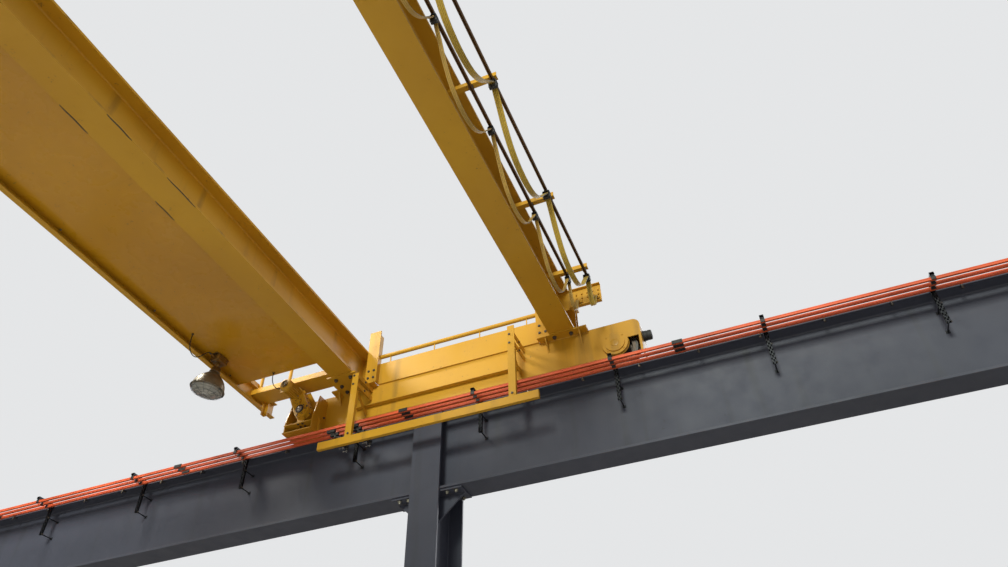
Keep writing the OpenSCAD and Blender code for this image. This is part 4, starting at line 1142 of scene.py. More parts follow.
@dataclass
class Cords(Assembly):
    """The two flat festoon cables and the four round leads, along the routes of their solids."""

    cable_thick: float = 0.0096
    core_pitch: float = 0.012
    cable_sag: float = 0.248
    lead_d: float = 0.010
    motor_from = (DRIVE_X, 2.062, 6.7703)
    lamp_from = (LIGHT_X, LIGHT_Y, WALK_LOW)
    jackets = ((0.60, 0.37, 0.075), (0.56, 0.36, 0.035))
    clamp_path = ((-0.0303, -0.015), (-0.050, -0.017), (-0.070, -0.028), (-0.088, -0.060), (-0.104, -0.110),
                  (-0.122, -0.170), (-0.146, -0.220))
    first_path = ((0.104, -0.222), (0.076, -0.176), (0.058, -0.110), (0.046, -0.050))
    saddle_path = ((0.034, -0.006), (0.0, 0.0), (-0.034, -0.006))
    tow_path = ((0.024, -0.008), (0.012, 0.0), (0.0003, 0.0))
    loop_share = (0.04, 0.10, 0.18, 0.32, 0.50, 0.68, 0.82, 0.90, 0.96)
    loop_drop = (0.030, 0.130, 0.270, 0.420, 0.470, 0.420, 0.270, 0.130, 0.030)
    lamp_path = (
        (-0.470, -0.015), (-0.470, -0.045), (-0.470, -0.080), (-0.466, -0.125), (-0.455, -0.170), (-0.435, -0.205),
        (-0.405, -0.228), (-0.370, -0.235), (-0.335, -0.225), (-0.305, -0.202), (-0.275, -0.170), (-0.245, -0.130),
        (-0.218, -0.092), (-0.195, -0.065), (-0.178, -0.053), (-0.168, -0.050), (-0.160, -0.050))
    motor_path = (
        (-0.350, 0.095), (-0.350, 0.075), (-0.350, 0.045), (-0.344, 0.010), (-0.328, -0.020), (-0.302, -0.042),
        (-0.268, -0.050), (-0.234, -0.046), (-0.206, -0.032), (-0.186, -0.015), (-0.172, -0.004), (-0.162, 0.0),
        (-0.153, 0.0))

    def cable_route(self, stops: Sequence[float], y: float) -> list[Point]:
        """Points of one festoon cable, from its end clamp over the carriers to the tow arm.

        Args:
            stops: place of each carrier along the bridge.
            y: place of its track across the bridge.

        Returns:
            The points.
        """
        flat = [(CLAMP_X + dx, dz) for dx, dz in self.clamp_path]
        flat.append(((CLAMP_X + stops[0]) / 2 - 0.022, -self.cable_sag))
        flat += [(stops[0] + dx, dz) for dx, dz in self.first_path]
        for stop, after in zip(stops, (*stops[1:], TOW_X)):
            flat += [(stop + dx, dz) for dx, dz in self.saddle_path]
            flat += [(stop + (after - stop) * share, -drop) for share, drop in zip(self.loop_share, self.loop_drop)]
        flat += [(TOW_X + dx, dz) for dx, dz in self.tow_path]
        return [(x, y, CABLE_Z + z) for x, z in flat]

    def cable_section(self, width: float, cores: int) -> list[Pair]:
        """Outline of a flat cable with a rib over each core.

        Args:
            width: width of the cable.
            cores: number of its cores.

        Returns:
            The outline's points.
        """
        pitch, rim = width / cores, self.cable_thick / 2
        top = [(pitch * (i + 0.5 + share) - width / 2, rim * high) for i in range(cores)
               for share, high in ((-0.5, 0.45), (-0.34, 0.9), (0.0, 1.0), (0.34, 0.9))]
        top.append((width / 2, rim * 0.45))
        return [(x, -z) for x, z in top] + [(x, z) for x, z in reversed(top)]

    def cable(self, name: str, stops: Sequence[float], y: float, width: float, colour: Colour) -> None:
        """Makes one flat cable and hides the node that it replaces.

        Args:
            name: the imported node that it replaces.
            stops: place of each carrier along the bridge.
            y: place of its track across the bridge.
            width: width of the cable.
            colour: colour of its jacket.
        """
        line, cores = smooth_line(self.cable_route(stops, y), 3), round(width / self.core_pitch)
        solid = Solid().tube(line, self.cable_section(width, cores), Y_AXIS)
        middle = y + self.layout.crane_y + (0.0 if cores % 2 == 0 else width / cores / 2)
        jacket = FlatJacket(f"{name}_jacket", colour, middle, width / cores)
        self.declare(self.put(f"flat_{name}", solid, jacket, Slot.CABLE), name, line, width, "limp")

    def lead(self, name: str, side: int, path: Sequence[Pair], start: Point) -> None:
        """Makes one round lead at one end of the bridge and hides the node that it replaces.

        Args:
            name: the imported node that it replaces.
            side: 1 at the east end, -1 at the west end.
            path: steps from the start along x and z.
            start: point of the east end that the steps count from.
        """
        line = smooth_line([(side * (start[0] + dx), start[1], start[2] + dz) for dx, dz in path], 4)
        solid = Solid().tube(line, disc(self.lead_d / 2, 12), Y_AXIS)
        self.declare(self.put(f"round_{name}", solid, LEAD_JACKET, Slot.LEAD), name, line, self.lead_d, "medium")

    def declare(self, made: bpy.types.Object, node: str, line: Sequence[Vector], width: float,
                stiffness: str) -> None:
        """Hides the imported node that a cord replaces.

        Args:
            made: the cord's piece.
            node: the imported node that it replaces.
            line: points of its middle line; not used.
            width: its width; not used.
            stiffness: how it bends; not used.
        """
        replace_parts(made, node)

    def build(self) -> None:
        """Makes all six cords."""
        for word, *values in zip(("inner", "outer"), (INNER_STOPS, OUTER_STOPS), TRACK_Y, CABLE_WIDTHS, self.jackets):
            self.cable(f"festoon_cable_{word}", *values)
        for word, side in (("east", 1), ("west", -1)):
            self.lead(f"{word}_light_lead", side, self.lamp_path, self.lamp_from)
            self.lead(f"{word}_motor_lead", side, self.motor_path, self.motor_from)


@dataclass
class Runway(Assembly):
    """Columns, beams and rails with their bolts, clips and welds."""

    body: Body = Body.RUNWAY
    anchor_x: float = 0.36
    anchor_y: float = 0.13
    anchor_d: float = 0.030
    anchor_proud: float = 0.062
    washer_half: float = 0.042
    plate_thick: float = 0.040
    column_depth: float = 0.60
    column_width: float = 0.33
    column_flange: float = 0.024
    column_web: float = 0.009
    clip_pitch: float = 0.60
    clip_from: float = 0.05
    clip_d: float = 0.016
    clip_skew: float = 0.016
    clip_path = ((-0.022, 0.026), (0.010, 0.014), (0.017, -0.006), (0.010, -0.036), (-0.012, -0.037), (-0.037, -0.037))
    beam_width: float = 0.305
    beam_flange: float = 0.025
    beam_web: float = 0.016
    seat_d: float = 0.022
    seat_grip: float = 0.045
    gusset_half: float = 0.011

    def feet(self) -> list[Matrix]:
        """Places of the six columns' feet."""
        return [shift(sx * self.layout.column_x, row * self.layout.bay, 0) for sx in SIDES for row in THREE]

    def anchors(self) -> None:
        """Anchor bolts with double nuts and thick square washers."""
        one, half, top, d = Solid(), self.washer_half, self.plate_thick, self.anchor_d
        one.block((-half, -half, top), (half, half, top + 0.008))
        for low, high in ((0.008, 0.030), (0.031, 0.046)):
            one.lathe(shift(0, 0, top), [(low, d * 0.78), (low + 0.002, d * 0.88), (high - 0.002, d * 0.88),
                                         (high, d * 0.78)], 6)
        one.lathe(shift(0, 0, top), [(0.044, d / 2), (self.anchor_proud - 0.003, d / 2),
                                     (self.anchor_proud, d * 0.4)], 16)
        where = [foot @ shift(i * self.anchor_x, j * self.anchor_y, 0) for foot in self.feet()
                 for i in SIDES for j in SIDES]
        self.put("anchor_bolts", Solid().copies(one, where), DARK_BOLT, Slot.SLATE)

    def foot_welds(self) -> None:
        """Fillet welds round each column's foot."""
        one, top, leg = Solid(), self.plate_thick, 0.009
        dx, dy, end = self.column_depth / 2, self.column_width / 2, self.column_depth / 2 - 0.03
        for s in SIDES:
            for x in (dx + 0.002, dx - self.column_flange):
                one.weld((s * x, -dy, top), (s * x, dy, top), leg)
            one.weld((-end, s * self.column_web, top), (end, s * self.column_web, top), leg)
        self.put("column_foot_welds", Solid().copies(one, self.feet()), SLATE, Slot.SLATE)

    def seat_bolts(self) -> None:
        """Bolts through each beam end and its seat."""
        bolts = Solid()
        for row, way in ((-1, 1), (0, -1), (0, 1), (1, -1)):
            bolts.bolts([self.layout.rail_x + x for x in (-0.095, 0.095)],
                        [row * self.layout.bay + way * off for off in (0.22, 0.32)],
                        [self.layout.beam_low + self.beam_flange], Z_AXIS, self.seat_d, self.seat_grip)
        self.put("seat_bolts", bolts.mirrored(0), PLATED_BOLT, Slot.SLATE)

    def rail_clips(self) -> None:
        """Hook bolts that pull the rail down on the beam from both edges of its flange."""
        one, edge, head = Solid(), self.beam_width / 2, 0.034
        for s in SIDES:
            points = [(0.020, head), (0.055, head), *((edge + out, high) for out, high in self.clip_path)]
            one.wire([(s * x, s * self.clip_skew, self.layout.beam_top + z) for x, z in points],
                     self.clip_d / 2, 8, 3)
            shank = shift(s * (edge + 0.017), s * self.clip_skew, self.layout.beam_top)
            one.rod(shank @ Vector((0, 0, -0.004)), shank @ Vector((0, 0, -0.078)), self.clip_d / 2, 8, 0.002)
            one.lathe(place(shank @ Vector((0, 0, -0.058)), DOWN),
                      [(0.0, 0.011), (0.002, 0.013), (0.011, 0.013), (0.013, 0.011)], 6)
            one.bolt((s * 0.012, s * self.clip_skew, self.layout.beam_top + head), (-s, 0, 0), self.clip_d * 0.9)
        count = int((self.layout.bay - 0.3) / self.clip_pitch)
        where = [shift(sx * self.layout.rail_x, self.clip_from + self.clip_pitch * k, 0)
                 for sx in SIDES for k in range(-count, count + 1)]
        self.put("rail_hook_bolts", Solid().copies(one, where), DARK_BOLT, Slot.RAIL)

    def beams(self) -> None:
        """Rolled beams with plain webs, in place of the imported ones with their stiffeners."""
        web, flange, edge, steps = self.beam_web / 2, self.beam_flange, 0.0025, 6
        wide, low, high = self.beam_width / 2, self.layout.beam_low, self.layout.beam_top
        root = 2 * web
        quarter = [(-wide + edge, low), (-wide, low + edge), (-wide, low + flange - edge),
                   (-wide + edge, low + flange)]
        quarter += [(-web - root + root * math.sin(a), low + flange + root - root * math.cos(a))
                    for a in (math.pi / 2 * k / steps for k in range(steps + 1))]
        half = quarter + [(x, low + high - z) for x, z in reversed(quarter)]
        outline = half + [(-x, z) for x, z in reversed(half)]
        for side, word in ((1, "east"), (-1, "west")):
            node = f"{word}_runway_beams"
            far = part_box(node)[1].y
            made = Solid()
            for s in SIDES:
                ends = sorted((s * (self.layout.bay - far), s * far))
                made.skin([[Vector((side * self.layout.rail_x + x, y, z)) for x, z in outline] for y in ends])
            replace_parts(self.put(f"{word}_rolled_beams", made, SLATE, Slot.SLATE), node)

    def beam_welds(self) -> None:
        """Fillet welds at the seats' gussets."""
        welds, under = Solid(), self.layout.beam_low - 0.021
        for row, way in ((0, 1), (self.layout.bay, -1)):
            for off in (-self.gusset_half, self.gusset_half):
                x = self.layout.rail_x + off
                welds.weld((x, row + way * 0.02, under), (x, row + way * 0.36, under))
        self.put("beam_welds", welds.mirrored(0).mirrored(1), SLATE, Slot.SLATE)

    def stop_bolts(self) -> None:
        """Bolts through the end stops' face plates."""
        bolts = Solid().bolts([self.layout.rail_x + x for x in (-0.045, 0.045)], [self.layout.bay - 0.051],
                              [self.layout.beam_top + z for z in (0.16, 0.40)], Y_AXIS, 0.016)
        self.put("end_stop_bolts", bolts.mirrored(0).mirrored(1), PLATED_BOLT, Slot.SLATE)

    def build(self) -> None:
        """Dresses the runway."""
        dress(SLATE, "east_columns", "west_columns", "base_plates", "end_stops")
        self.beams()
        dress(RunwaySteel("runway_rail_steel", self.layout.rail_top), "runway_rails")
        self.anchors()
        self.foot_welds()
        self.seat_bolts()
        self.rail_clips()
        self.beam_welds()
        self.stop_bolts()


@dataclass
class ConductorLine(Assembly):
    """Orange conductor bars on their perforated strut brackets."""

    body: Body = Body.RUNWAY
    bracket_first: float = -6.620
    bracket_pitch: float = 1.500
    bracket_count: int = 10
    joint_first: float = -5.800
    joint_pitch: float = 3.000
    joint_count: int = 5
    cover_half: float = 0.052
    cover_wall: float = 0.0055
    hanger_half: float = 0.021
    strut_x: float = 5.8165
    strut_wide: float = 0.041
    strut_deep: float = 0.025
    strut_wall: float = 0.0025
    slot_pitch: float = 0.050
    slot_half: float = 0.014
    arm_z: float = 6.200
    arm_past: float = 0.024
    leg_low: float = 5.815
    brace_z: float = 6.032
    brace_d: float = 0.012
    web_x: float = 5.992

    def spots(self) -> list[float]:
        """Places of the brackets along the runway."""
        return [self.bracket_first + self.bracket_pitch * k for k in range(self.bracket_count)]

    def joints(self) -> Iterable[Pair]:
        """Places of the bars' joints, as x and y."""
        return product(BARS_X, [self.joint_first + self.joint_pitch * i for i in range(self.joint_count)])

    def hangers(self) -> None:
        """Black snap hangers that grip each bar under its bracket."""
        one, half, (a, b) = Solid(), self.hanger_half, BAR_HALF
        for s in SIDES:
            one.brick((s * (a + 0.0025), 0, 0.004), (0.0025, half, b), 0.0015)
            one.brick((s * (a + 0.001), 0, 0.0025 - b), (0.004, half, 0.0035), 0.0015)
        one.brick((0, 0, b + 0.0035), (a + 0.005, half, 0.0035), 0.0015)
        where = [shift(x, y, BAR_Z) for x, y in product(BARS_X, self.spots())]
        self.put("bar_hangers", Solid().copies(one, where), BLACK_NYLON, Slot.PLASTIC)

    def struts(self) -> None:
        """Perforated channel struts: an arm over the bars, and a leg that threaded rods hold off the beam's web."""
        one, half, wall, low, top = Solid(), self.strut_wide / 2, self.strut_wall, self.leg_low, self.strut_top()
        x0, x1, end = self.strut_x, self.strut_x + self.strut_deep, BAR_X - BAR_PITCH - self.arm_past
        slots = [low + 0.022 + self.slot_pitch * k for k in range(int((top - low - 0.03) / self.slot_pitch))]
        for y in (-half, half - wall):
            one.block((x0, y, low), (x1, y + wall, top), 0.0008)
            one.block((end, y, self.arm_z), (x0, y + wall, top), 0.0008)
        for x in (x0, x1 - wall):
            edges = [low, *(z + d for z in slots for d in (-self.slot_half, self.slot_half)), top]
            for a, b in zip(edges[::2], edges[1::2]):
                one.block((x, -half, a), (x + wall, half, b), 0.0006)
            for y in (-half, half - 0.013):
                one.block((x, y, low), (x + wall, y + 0.013, top), 0.0006)
        one.block((end, -half, top - wall), (x0, half, top), 0.0008)
        for z in (low + self.brace_d, self.brace_z + self.brace_d):
            one.rod((x1 - wall, 0, z), (self.web_x, 0, z), self.brace_d / 2)
            one.brick((self.web_x - 0.0025, 0, z + 0.001), (0.0025, half - 0.002, 0.017))
            one.lathe(place((x1, 0, z), X_AXIS), [(0.0, 0.011), (0.010, 0.011)], 6)
        for x in BARS_X:
            one.block((x - 0.017, -0.0155, BAR_Z + BAR_HALF[1]), (x + 0.017, 0.0155, self.arm_z), 0.001)
        made = Solid().copies(one, [shift(0, y, 0) for y in self.spots()])
        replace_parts(self.put("perforated_struts", made, STRUT_ZINC, Slot.STRUT), "conductor_brackets")

    def strut_top(self) -> float:
        """Height of the arms' upper side."""
        return self.arm_z + self.strut_deep

    def fixings(self) -> None:
        """Bolts of the brackets' arms and hangers."""
        bolts = Solid().bolts(BARS_X, self.spots(), [self.strut_top()], Z_AXIS, 0.008)
        heights = (self.leg_low + 0.006, self.brace_z + 0.006, self.arm_z + self.strut_deep / 2)
        faces = [y - self.strut_wide / 2 for y in self.spots()]
        bolts.bolts([self.strut_x + self.strut_deep / 2], faces, heights, SOUTH, 0.010)
        self.put("bracket_bolts", bolts, DARK_BOLT, Slot.STRUT)

    def covers(self) -> None:
        """Short black covers over the bars' joints, open below where the shoes pass, with clips and screws."""
        made, screws, wall, half, (a, b) = Solid(), Solid(), self.cover_wall, self.cover_half, BAR_HALF
        for x, y in self.joints():
            made.brick((x, y, BAR_Z + b + wall / 2), (a + wall, half, wall / 2))
            for s in SIDES:
                made.brick((x + s * (a + wall / 2), y, BAR_Z + 0.001), (wall / 2, half, b + 0.001))
                screws.brick((x, y + s * 0.035, BAR_Z + 0.00525), (0.0185, 0.006, 0.01825), 0.002)
            screws.bolt((x, y, BAR_Z + b + wall), Z_AXIS, 0.005)
        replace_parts(self.put("short_joint_covers", made, JOINT_BLACK, Slot.PLASTIC), "joint_covers")
        self.put("joint_clips", screws, JOINT_BLACK, Slot.PLASTIC)

    def bar_ends(self) -> None:
        """Black end caps of the bars."""
        caps, (a, b), end = Solid(), BAR_HALF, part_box("conductor_bars")[1].y
        for x in BARS_X:
            caps.brick((x, end - 0.0185, BAR_Z + 0.0005), (a + 0.003, 0.0215, b + 0.0025), 0.002)
        self.put("bar_end_caps", caps.mirrored(1), BLACK_NYLON, Slot.PLASTIC)

    def build(self) -> None:
        """Dresses the conductor line."""
        dress(ORANGE_PVC, "conductor_bars")
        self.struts()
        self.covers()
        self.hangers()
        self.fixings()
        self.bar_ends()


@dataclass
class Girders(Assembly):
    """The two rolled girders with the trolley rails on them."""

    flange_half: float = 0.143
    web_half: float = 0.010
    bar_half: float = 0.020
    stitch: float = 0.050
    stitch_pitch: float = 0.300
    seam_width: float = 0.007
    seam_off: float = 0.140
    outer_seam = ((1.464, 1.770), (2.569, 2.824))
    inner_seam = ((1.681, 1.965), (2.393, 2.766))
    stiffeners_x = (6.015, 5.930)
    foot_x = (5.765, 6.07)

    def rail_welds(self) -> None:
        """Stitch welds along both sides of each trolley rail."""
        one = Solid()
        for s in SIDES:
            one.weld((-self.stitch / 2, s * self.bar_half, 0), (self.stitch / 2, s * self.bar_half, 0))
        count = int((self.layout.rail_x - 0.35) / self.stitch_pitch)
        where = [shift(k * self.stitch_pitch, s * self.layout.girder_y, self.layout.girder_top)
                 for s in SIDES for k in range(-count, count + 1)]
        self.put("trolley_rail_welds", Solid().copies(one, where), YELLOW, Slot.YELLOW)

    def seams(self) -> None:
        """Thin dark marks under the drive girder's bottom flange, near its edges."""
        marks, low = Solid(), self.layout.truck_top - 0.0002
        outline = [(x * self.seam_width, y * 0.0009) for x, y in disc(1, 8)]
        for s, spans in ((1, self.outer_seam), (-1, self.inner_seam)):
            y = self.layout.girder_y + s * self.seam_off
            for x0, x1 in spans:
                line = smooth_line([(x0 + (x1 - x0) * t, y + 0.002 * math.sin(9 * t), low)
                                    for t in (0, 0.15, 0.4, 0.6, 0.85, 1)], 3)
                last = len(line) - 1
                sizes = [math.sin(math.pi * min(max(k / last, 0.04), 0.96)) ** 0.35 for k in range(last + 1)]
                marks.tube(line, outline, Y_AXIS, sizes)
        self.put("dark_flange_marks", marks, DARK_MARK, Slot.YELLOW)

    def end_welds(self) -> None:
        """Fillet welds of the girders' stiffeners and of their feet on the trucks' pads."""
        welds, low, high = Solid(), self.layout.truck_top, self.layout.girder_top
        for s, t in product(SIDES, SIDES):
            y = s * self.layout.girder_y
            for x, off in product(self.stiffeners_x, (-0.008, 0.008)):
                web = y + t * self.web_half
                welds.weld((x + off, web, low + 0.03), (x + off, web, high - 0.03), 0.005)
            rim = y + t * self.flange_half
            welds.weld((self.foot_x[0], rim, low), (self.foot_x[1], rim, low), 0.007)
        self.put("girder_end_welds", welds, YELLOW, Slot.YELLOW, ends=True)

    def build(self) -> None:
        """Dresses the girders."""
        dress(YELLOW, "north_girder", "south_girder")
        dress(TROLLEY_RAIL, "trolley_rails")
        self.rail_welds()
        self.seams()
        self.end_welds()


@dataclass
class EndTrucks(Assembly):
    """End trucks with their bearing caps, bolts, bumpers and gusset welds."""

    inner_x: float = 5.870
    outer_x: float = 6.130
    boss_out: float = 0.048
    boss_r: float = 0.141
    step: float = 0.014
    cap_ring: float = 0.1225
    cap_bolt: float = 0.010
    bumper_r: float = 0.0508
    bumper_z: float = 6.6353
    bumper_length: float = 0.090
    half: float = 2.130
    pad_x: float = 5.760
    tongue_x: float = 5.500
    pad_bolt_off: float = 0.095
    pad_bolt_d: float = 0.024
    flange_thick: float = 0.027
    pad_grip: float = 0.047
    gusset_off: float = 0.193

    def bearing_bolts(self) -> None:
        """Painted bolts on the stepped bearing caps, on both faces of each truck."""
        bolts, out = Solid(), self.boss_out - self.step
        for s in SIDES:
            for face, way in ((self.inner_x - out, WEST), (self.outer_x + out, X_AXIS)):
                centre = (face, s * self.layout.axle_y, self.layout.axle_z)
                bolts.bolts_at(around(centre, self.cap_ring, 4, 0, 0.5), way, self.cap_bolt)
        self.put("bearing_bolts", bolts, YELLOW, Slot.YELLOW, ends=True)

    def axle_ends(self) -> None:
        """Keeper plates and grease nipples at the axles' outer ends, and a cover on the south one's inner end."""
        plates, cover, z = Solid(), Solid(), self.layout.axle_z
        face = self.outer_x + self.boss_out
        for s in SIDES:
            y = s * self.layout.axle_y
            plates.lathe(place((face - 0.004, y, z), X_AXIS),
                         [(0.0, 0.030), (0.0015, 0.033), (0.003, 0.033), (0.0035, 0.020)], 32)
            plates.lathe(place((face - 0.014, y + 0.118, z), X_AXIS),
                         [(0.0, 0.005), (0.008, 0.005), (0.009, 0.0035), (0.012, 0.0035), (0.0135, 0.002)], 12)
        self.put("axle_keepers", plates, TURNED, Slot.WHEEL, ends=True)
        face = min(self.inner_x - self.boss_out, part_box("wheel_south_east")[0].x - 0.0004)
        cover.lathe(place((face + 0.0002, -self.layout.axle_y, z), WEST),
                    [(0.0, 0.046), (0.0035, 0.046), (0.0045, 0.044), (0.0045, 0.010), (0.0040, 0.0)], 40)
        self.put("axle_covers", cover, YELLOW, Slot.YELLOW, ends=True)

    def bumpers(self) -> None:
        """Moulded rubber bumpers over their steel cores."""
        r, long = self.bumper_r, self.bumper_length
        base = [(0, r + 0.009), (0.010, r + 0.009), (0.014, r + 0.004)]
        waist = [(long * 0.45, r + 0.004), (long * 0.50, r), (long * 0.56, r), (long * 0.61, r + 0.004)]
        nose = [(long * 0.88, r + 0.003), (long + 0.001, r), (long + 0.004, r * 0.8), (long + 0.004, r * 0.30),
                (long + 0.0015, r * 0.26), (long + 0.0015, 0)]
        made = Solid()
        for s in SIDES:
            made.lathe(place((self.layout.rail_x, s * self.half, self.bumper_z), (0, s, 0)), base + waist + nose, 32)
        self.put("rubber_bumpers", made, BLACK_RUBBER, Slot.PLASTIC, ends=True)

    def pad_bolts(self) -> None:
        """Bolts that hold each girder to its pad, and the drive girder to the tongue under it."""
        rows = [s * self.layout.girder_y + t * self.pad_bolt_off for s in SIDES for t in SIDES]
        top, size, grip = [self.layout.truck_top + self.flange_thick], self.pad_bolt_d, self.pad_grip
        bolts = Solid().bolts([self.pad_x + 0.050], rows, top, Z_AXIS, size, grip)
        bolts.bolts([self.tongue_x + 0.06, self.tongue_x + 0.19], rows[2:], top, Z_AXIS, size, grip)
        self.put("pad_bolts", bolts, DARK_BOLT, Slot.YELLOW, ends=True)

    def gusset_welds(self) -> None:
        """Fillet welds of the pads, of their gussets and of the bearing bosses."""
        welds, top = Solid(), self.layout.truck_top - 0.020
        near, face = self.inner_x - 0.001, self.inner_x - 0.004
        for s in SIDES:
            middle = s * self.layout.girder_y
            for t, off in product(SIDES, (-0.007, 0.007)):
                y = middle + t * self.gusset_off + off
                welds.weld((near, y, top - 0.145), (near, y, top - 0.004))
                welds.weld((self.pad_x + 0.016, y, top), (face, y, top))
            welds.weld((self.inner_x, middle - 0.275, top), (self.inner_x, middle + 0.275, top), 0.007)
            for x in (self.inner_x, self.outer_x):
                ring = around((x, s * self.layout.axle_y, self.layout.axle_z), self.boss_r, 120, 0)
                welds.collar(ring, 0.006, 6, X_AXIS, 0.12)
        self.put("truck_welds", welds, YELLOW, Slot.YELLOW, ends=True)

    def build(self) -> None:
        """Dresses the end trucks and their wheels."""
        dress(YELLOW, "east_end_truck", "west_end_truck")
        for name in ("wheel_north_east", "wheel_south_east", "wheel_north_west", "wheel_south_west"):
            low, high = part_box(name)
            centre, reach = tuple((a + b) / 2 for a, b in zip(low, high)), (high.z - low.z) / 2
            dress(WheelSteel(f"{name}_steel", centre, reach - 0.025, reach), name)
        self.bearing_bolts()
        self.axle_ends()
        self.bumpers()
        self.pad_bolts()
        self.gusset_welds()


@dataclass
class EndTies(Assembly):
    """Plates, posts and pipes between the girders' ends."""

    tie_x: float = 5.850
    tie_thick: float = 0.012
    tie_low: float = 6.800
    tie_high: float = 7.095
    post_x: float = 5.784
    post_bolts_y = (1.045, 1.115)
    post_bolts_z = (6.87, 6.97)
    foot_bolts_y = (0.18, 0.52, 0.86)
    bolt_d: float = 0.016
    pipe_x: float = 5.856
    pipe_z: float = 7.200
    stand_y: float = 0.2915

    def bolts(self) -> None:
        """Bolts of the posts, and of the angle on the truck."""
        made = Solid()
        for s in SIDES:
            made.bolts([self.post_x], [s * y for y in self.post_bolts_y], self.post_bolts_z, WEST, self.bolt_d)
            made.bolts([self.tie_x + 0.045], [s * y for y in self.foot_bolts_y], [self.tie_low + 0.010],
                       Z_AXIS, self.bolt_d)
        self.put("tie_bolts", made, DARK_BOLT, Slot.YELLOW, ends=True)

    def welds(self) -> None:
        """Beads at the pipe's posts and the plate's foot."""
        made = Solid()
        for k, off, z in product((-3, -1, 1, 3), (-0.007, 0.007), (self.pipe_z - 0.024, self.tie_high)):
            y = k * self.stand_y + off
            made.weld((self.pipe_x - 0.006, y, z), (self.pipe_x + 0.006, y, z), 0.004)
        for z, x in ((self.tie_low + 0.010, self.tie_x + self.tie_thick), (self.tie_low, self.tie_x + 0.020)):
            made.weld((x, -1.0, z), (x, 1.0, z), 0.005)
        self.put("tie_welds", made, YELLOW, Slot.YELLOW, ends=True)

    def build(self) -> None:
        """Dresses the ties."""
        dress(YELLOW, "end_ties")
        self.bolts()
        self.welds()


@dataclass
class Footwalk(Assembly):
    """Chequered walk beside the drive girder, with its channel and handrail."""

    stud_long: float = 0.030
    stud_wide: float = 0.009
    stud_high: float = 0.0016
    stud_pitch: float = 0.043
    bolt_count: int = 9
    bolt_reach: float = 5.1
    guard_x: float = 5.6525
    guard_y: float = 2.569
    guard_base: float = 7.0
    guard_top: float = 7.958
    guard_r: float = 0.021
    collar_r: float = 0.022
    collar_leg: float = 0.0035
    bays: int = 8
    beam_bolts_y = (1.42, 1.75, 2.08, 2.42)

    def studs(self) -> None:
        """Raised lozenges all over the walk plate."""
        low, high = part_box("walk_deck")
        one, a, b, h = Solid(), self.stud_long / 2, self.stud_wide / 2, self.stud_high
        one.skin([[Vector((a * p, 0, z)), Vector((0, b * q, z)), Vector((-a * p, 0, z)), Vector((0, -b * q, z))]
                  for p, q, z in ((1, 1, 0), (0.6, 0.5, h))])
        one.faces = [f for f in one.faces if set(f) != {0, 1, 2, 3}]
        turns = [Matrix.Rotation(math.radians(t), 4, "Z") for t in (45, -45)]
        from_y = low.y - self.layout.crane_y + 0.155
        rows = int((high.y - self.layout.crane_y - 0.03 - from_y) / self.stud_pitch)
        columns = int((high.x - low.x - 0.06) / self.stud_pitch)
        where = [shift(low.x + 0.04 + i * self.stud_pitch, from_y + j * self.stud_pitch, high.z)
                 @ turns[(i + j) % 2] for i in range(columns) for j in range(rows)]
        self.put("chequer_studs", Solid().copies(one, where), YELLOW, Slot.YELLOW)

    def bolts(self) -> None:
        """Bolts through the plate into the channel."""
        high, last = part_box("walk_deck")[1], self.bolt_count - 1
        xs = [self.bolt_reach * (2 * k / last - 1) for k in range(self.bolt_count)]
        made = Solid().bolts(xs, [high.y - self.layout.crane_y - 0.03], [high.z], Z_AXIS, 0.012, 0.008)
        self.put("walk_bolts", made, PLATED_BOLT, Slot.YELLOW)

    def joints(self) -> None:
        """Weld collars where the handrail's tubes meet."""
        made, y, r, leg = Solid(), self.guard_y, self.collar_r, self.collar_leg
        middle = self.guard_base + (self.guard_top - self.guard_base) * 0.52
        for k in range(self.bays + 1):
            x = self.guard_x * (2 * k / self.bays - 1)
            for z in (self.guard_base + 0.001, self.guard_top - self.guard_r + 0.001):
                made.collar(around((x, y, z), r, 36, 2), leg, 5, Z_AXIS, 0.15)
            for side in (x - self.guard_r - 0.0005, x + self.guard_r + 0.0005):
                if abs(side) < self.guard_x:
                    made.collar(around((side, y, middle), r, 36, 0), leg, 5, X_AXIS)
        self.put("handrail_welds", made, YELLOW, Slot.YELLOW)

    def end_bolts(self) -> None:
        """Bolts of the walk's end beams."""
        made = Solid().bolts((5.600, 5.710), self.beam_bolts_y, [6.888], Z_AXIS, 0.012)
        made.bolts([5.775], [2.515], (6.73, 6.79), X_AXIS, 0.014)
        self.put("walk_end_bolts", made, PLATED_BOLT, Slot.YELLOW, ends=True)

    def build(self) -> None:
        """Dresses the walk."""
        dress(WALK_YELLOW, "walk_deck")
        dress(YELLOW, "walk_channel", "walk_ends", "handrail", "handrail_ends")
        self.studs()
        self.bolts()
        self.joints()
        self.end_bolts()


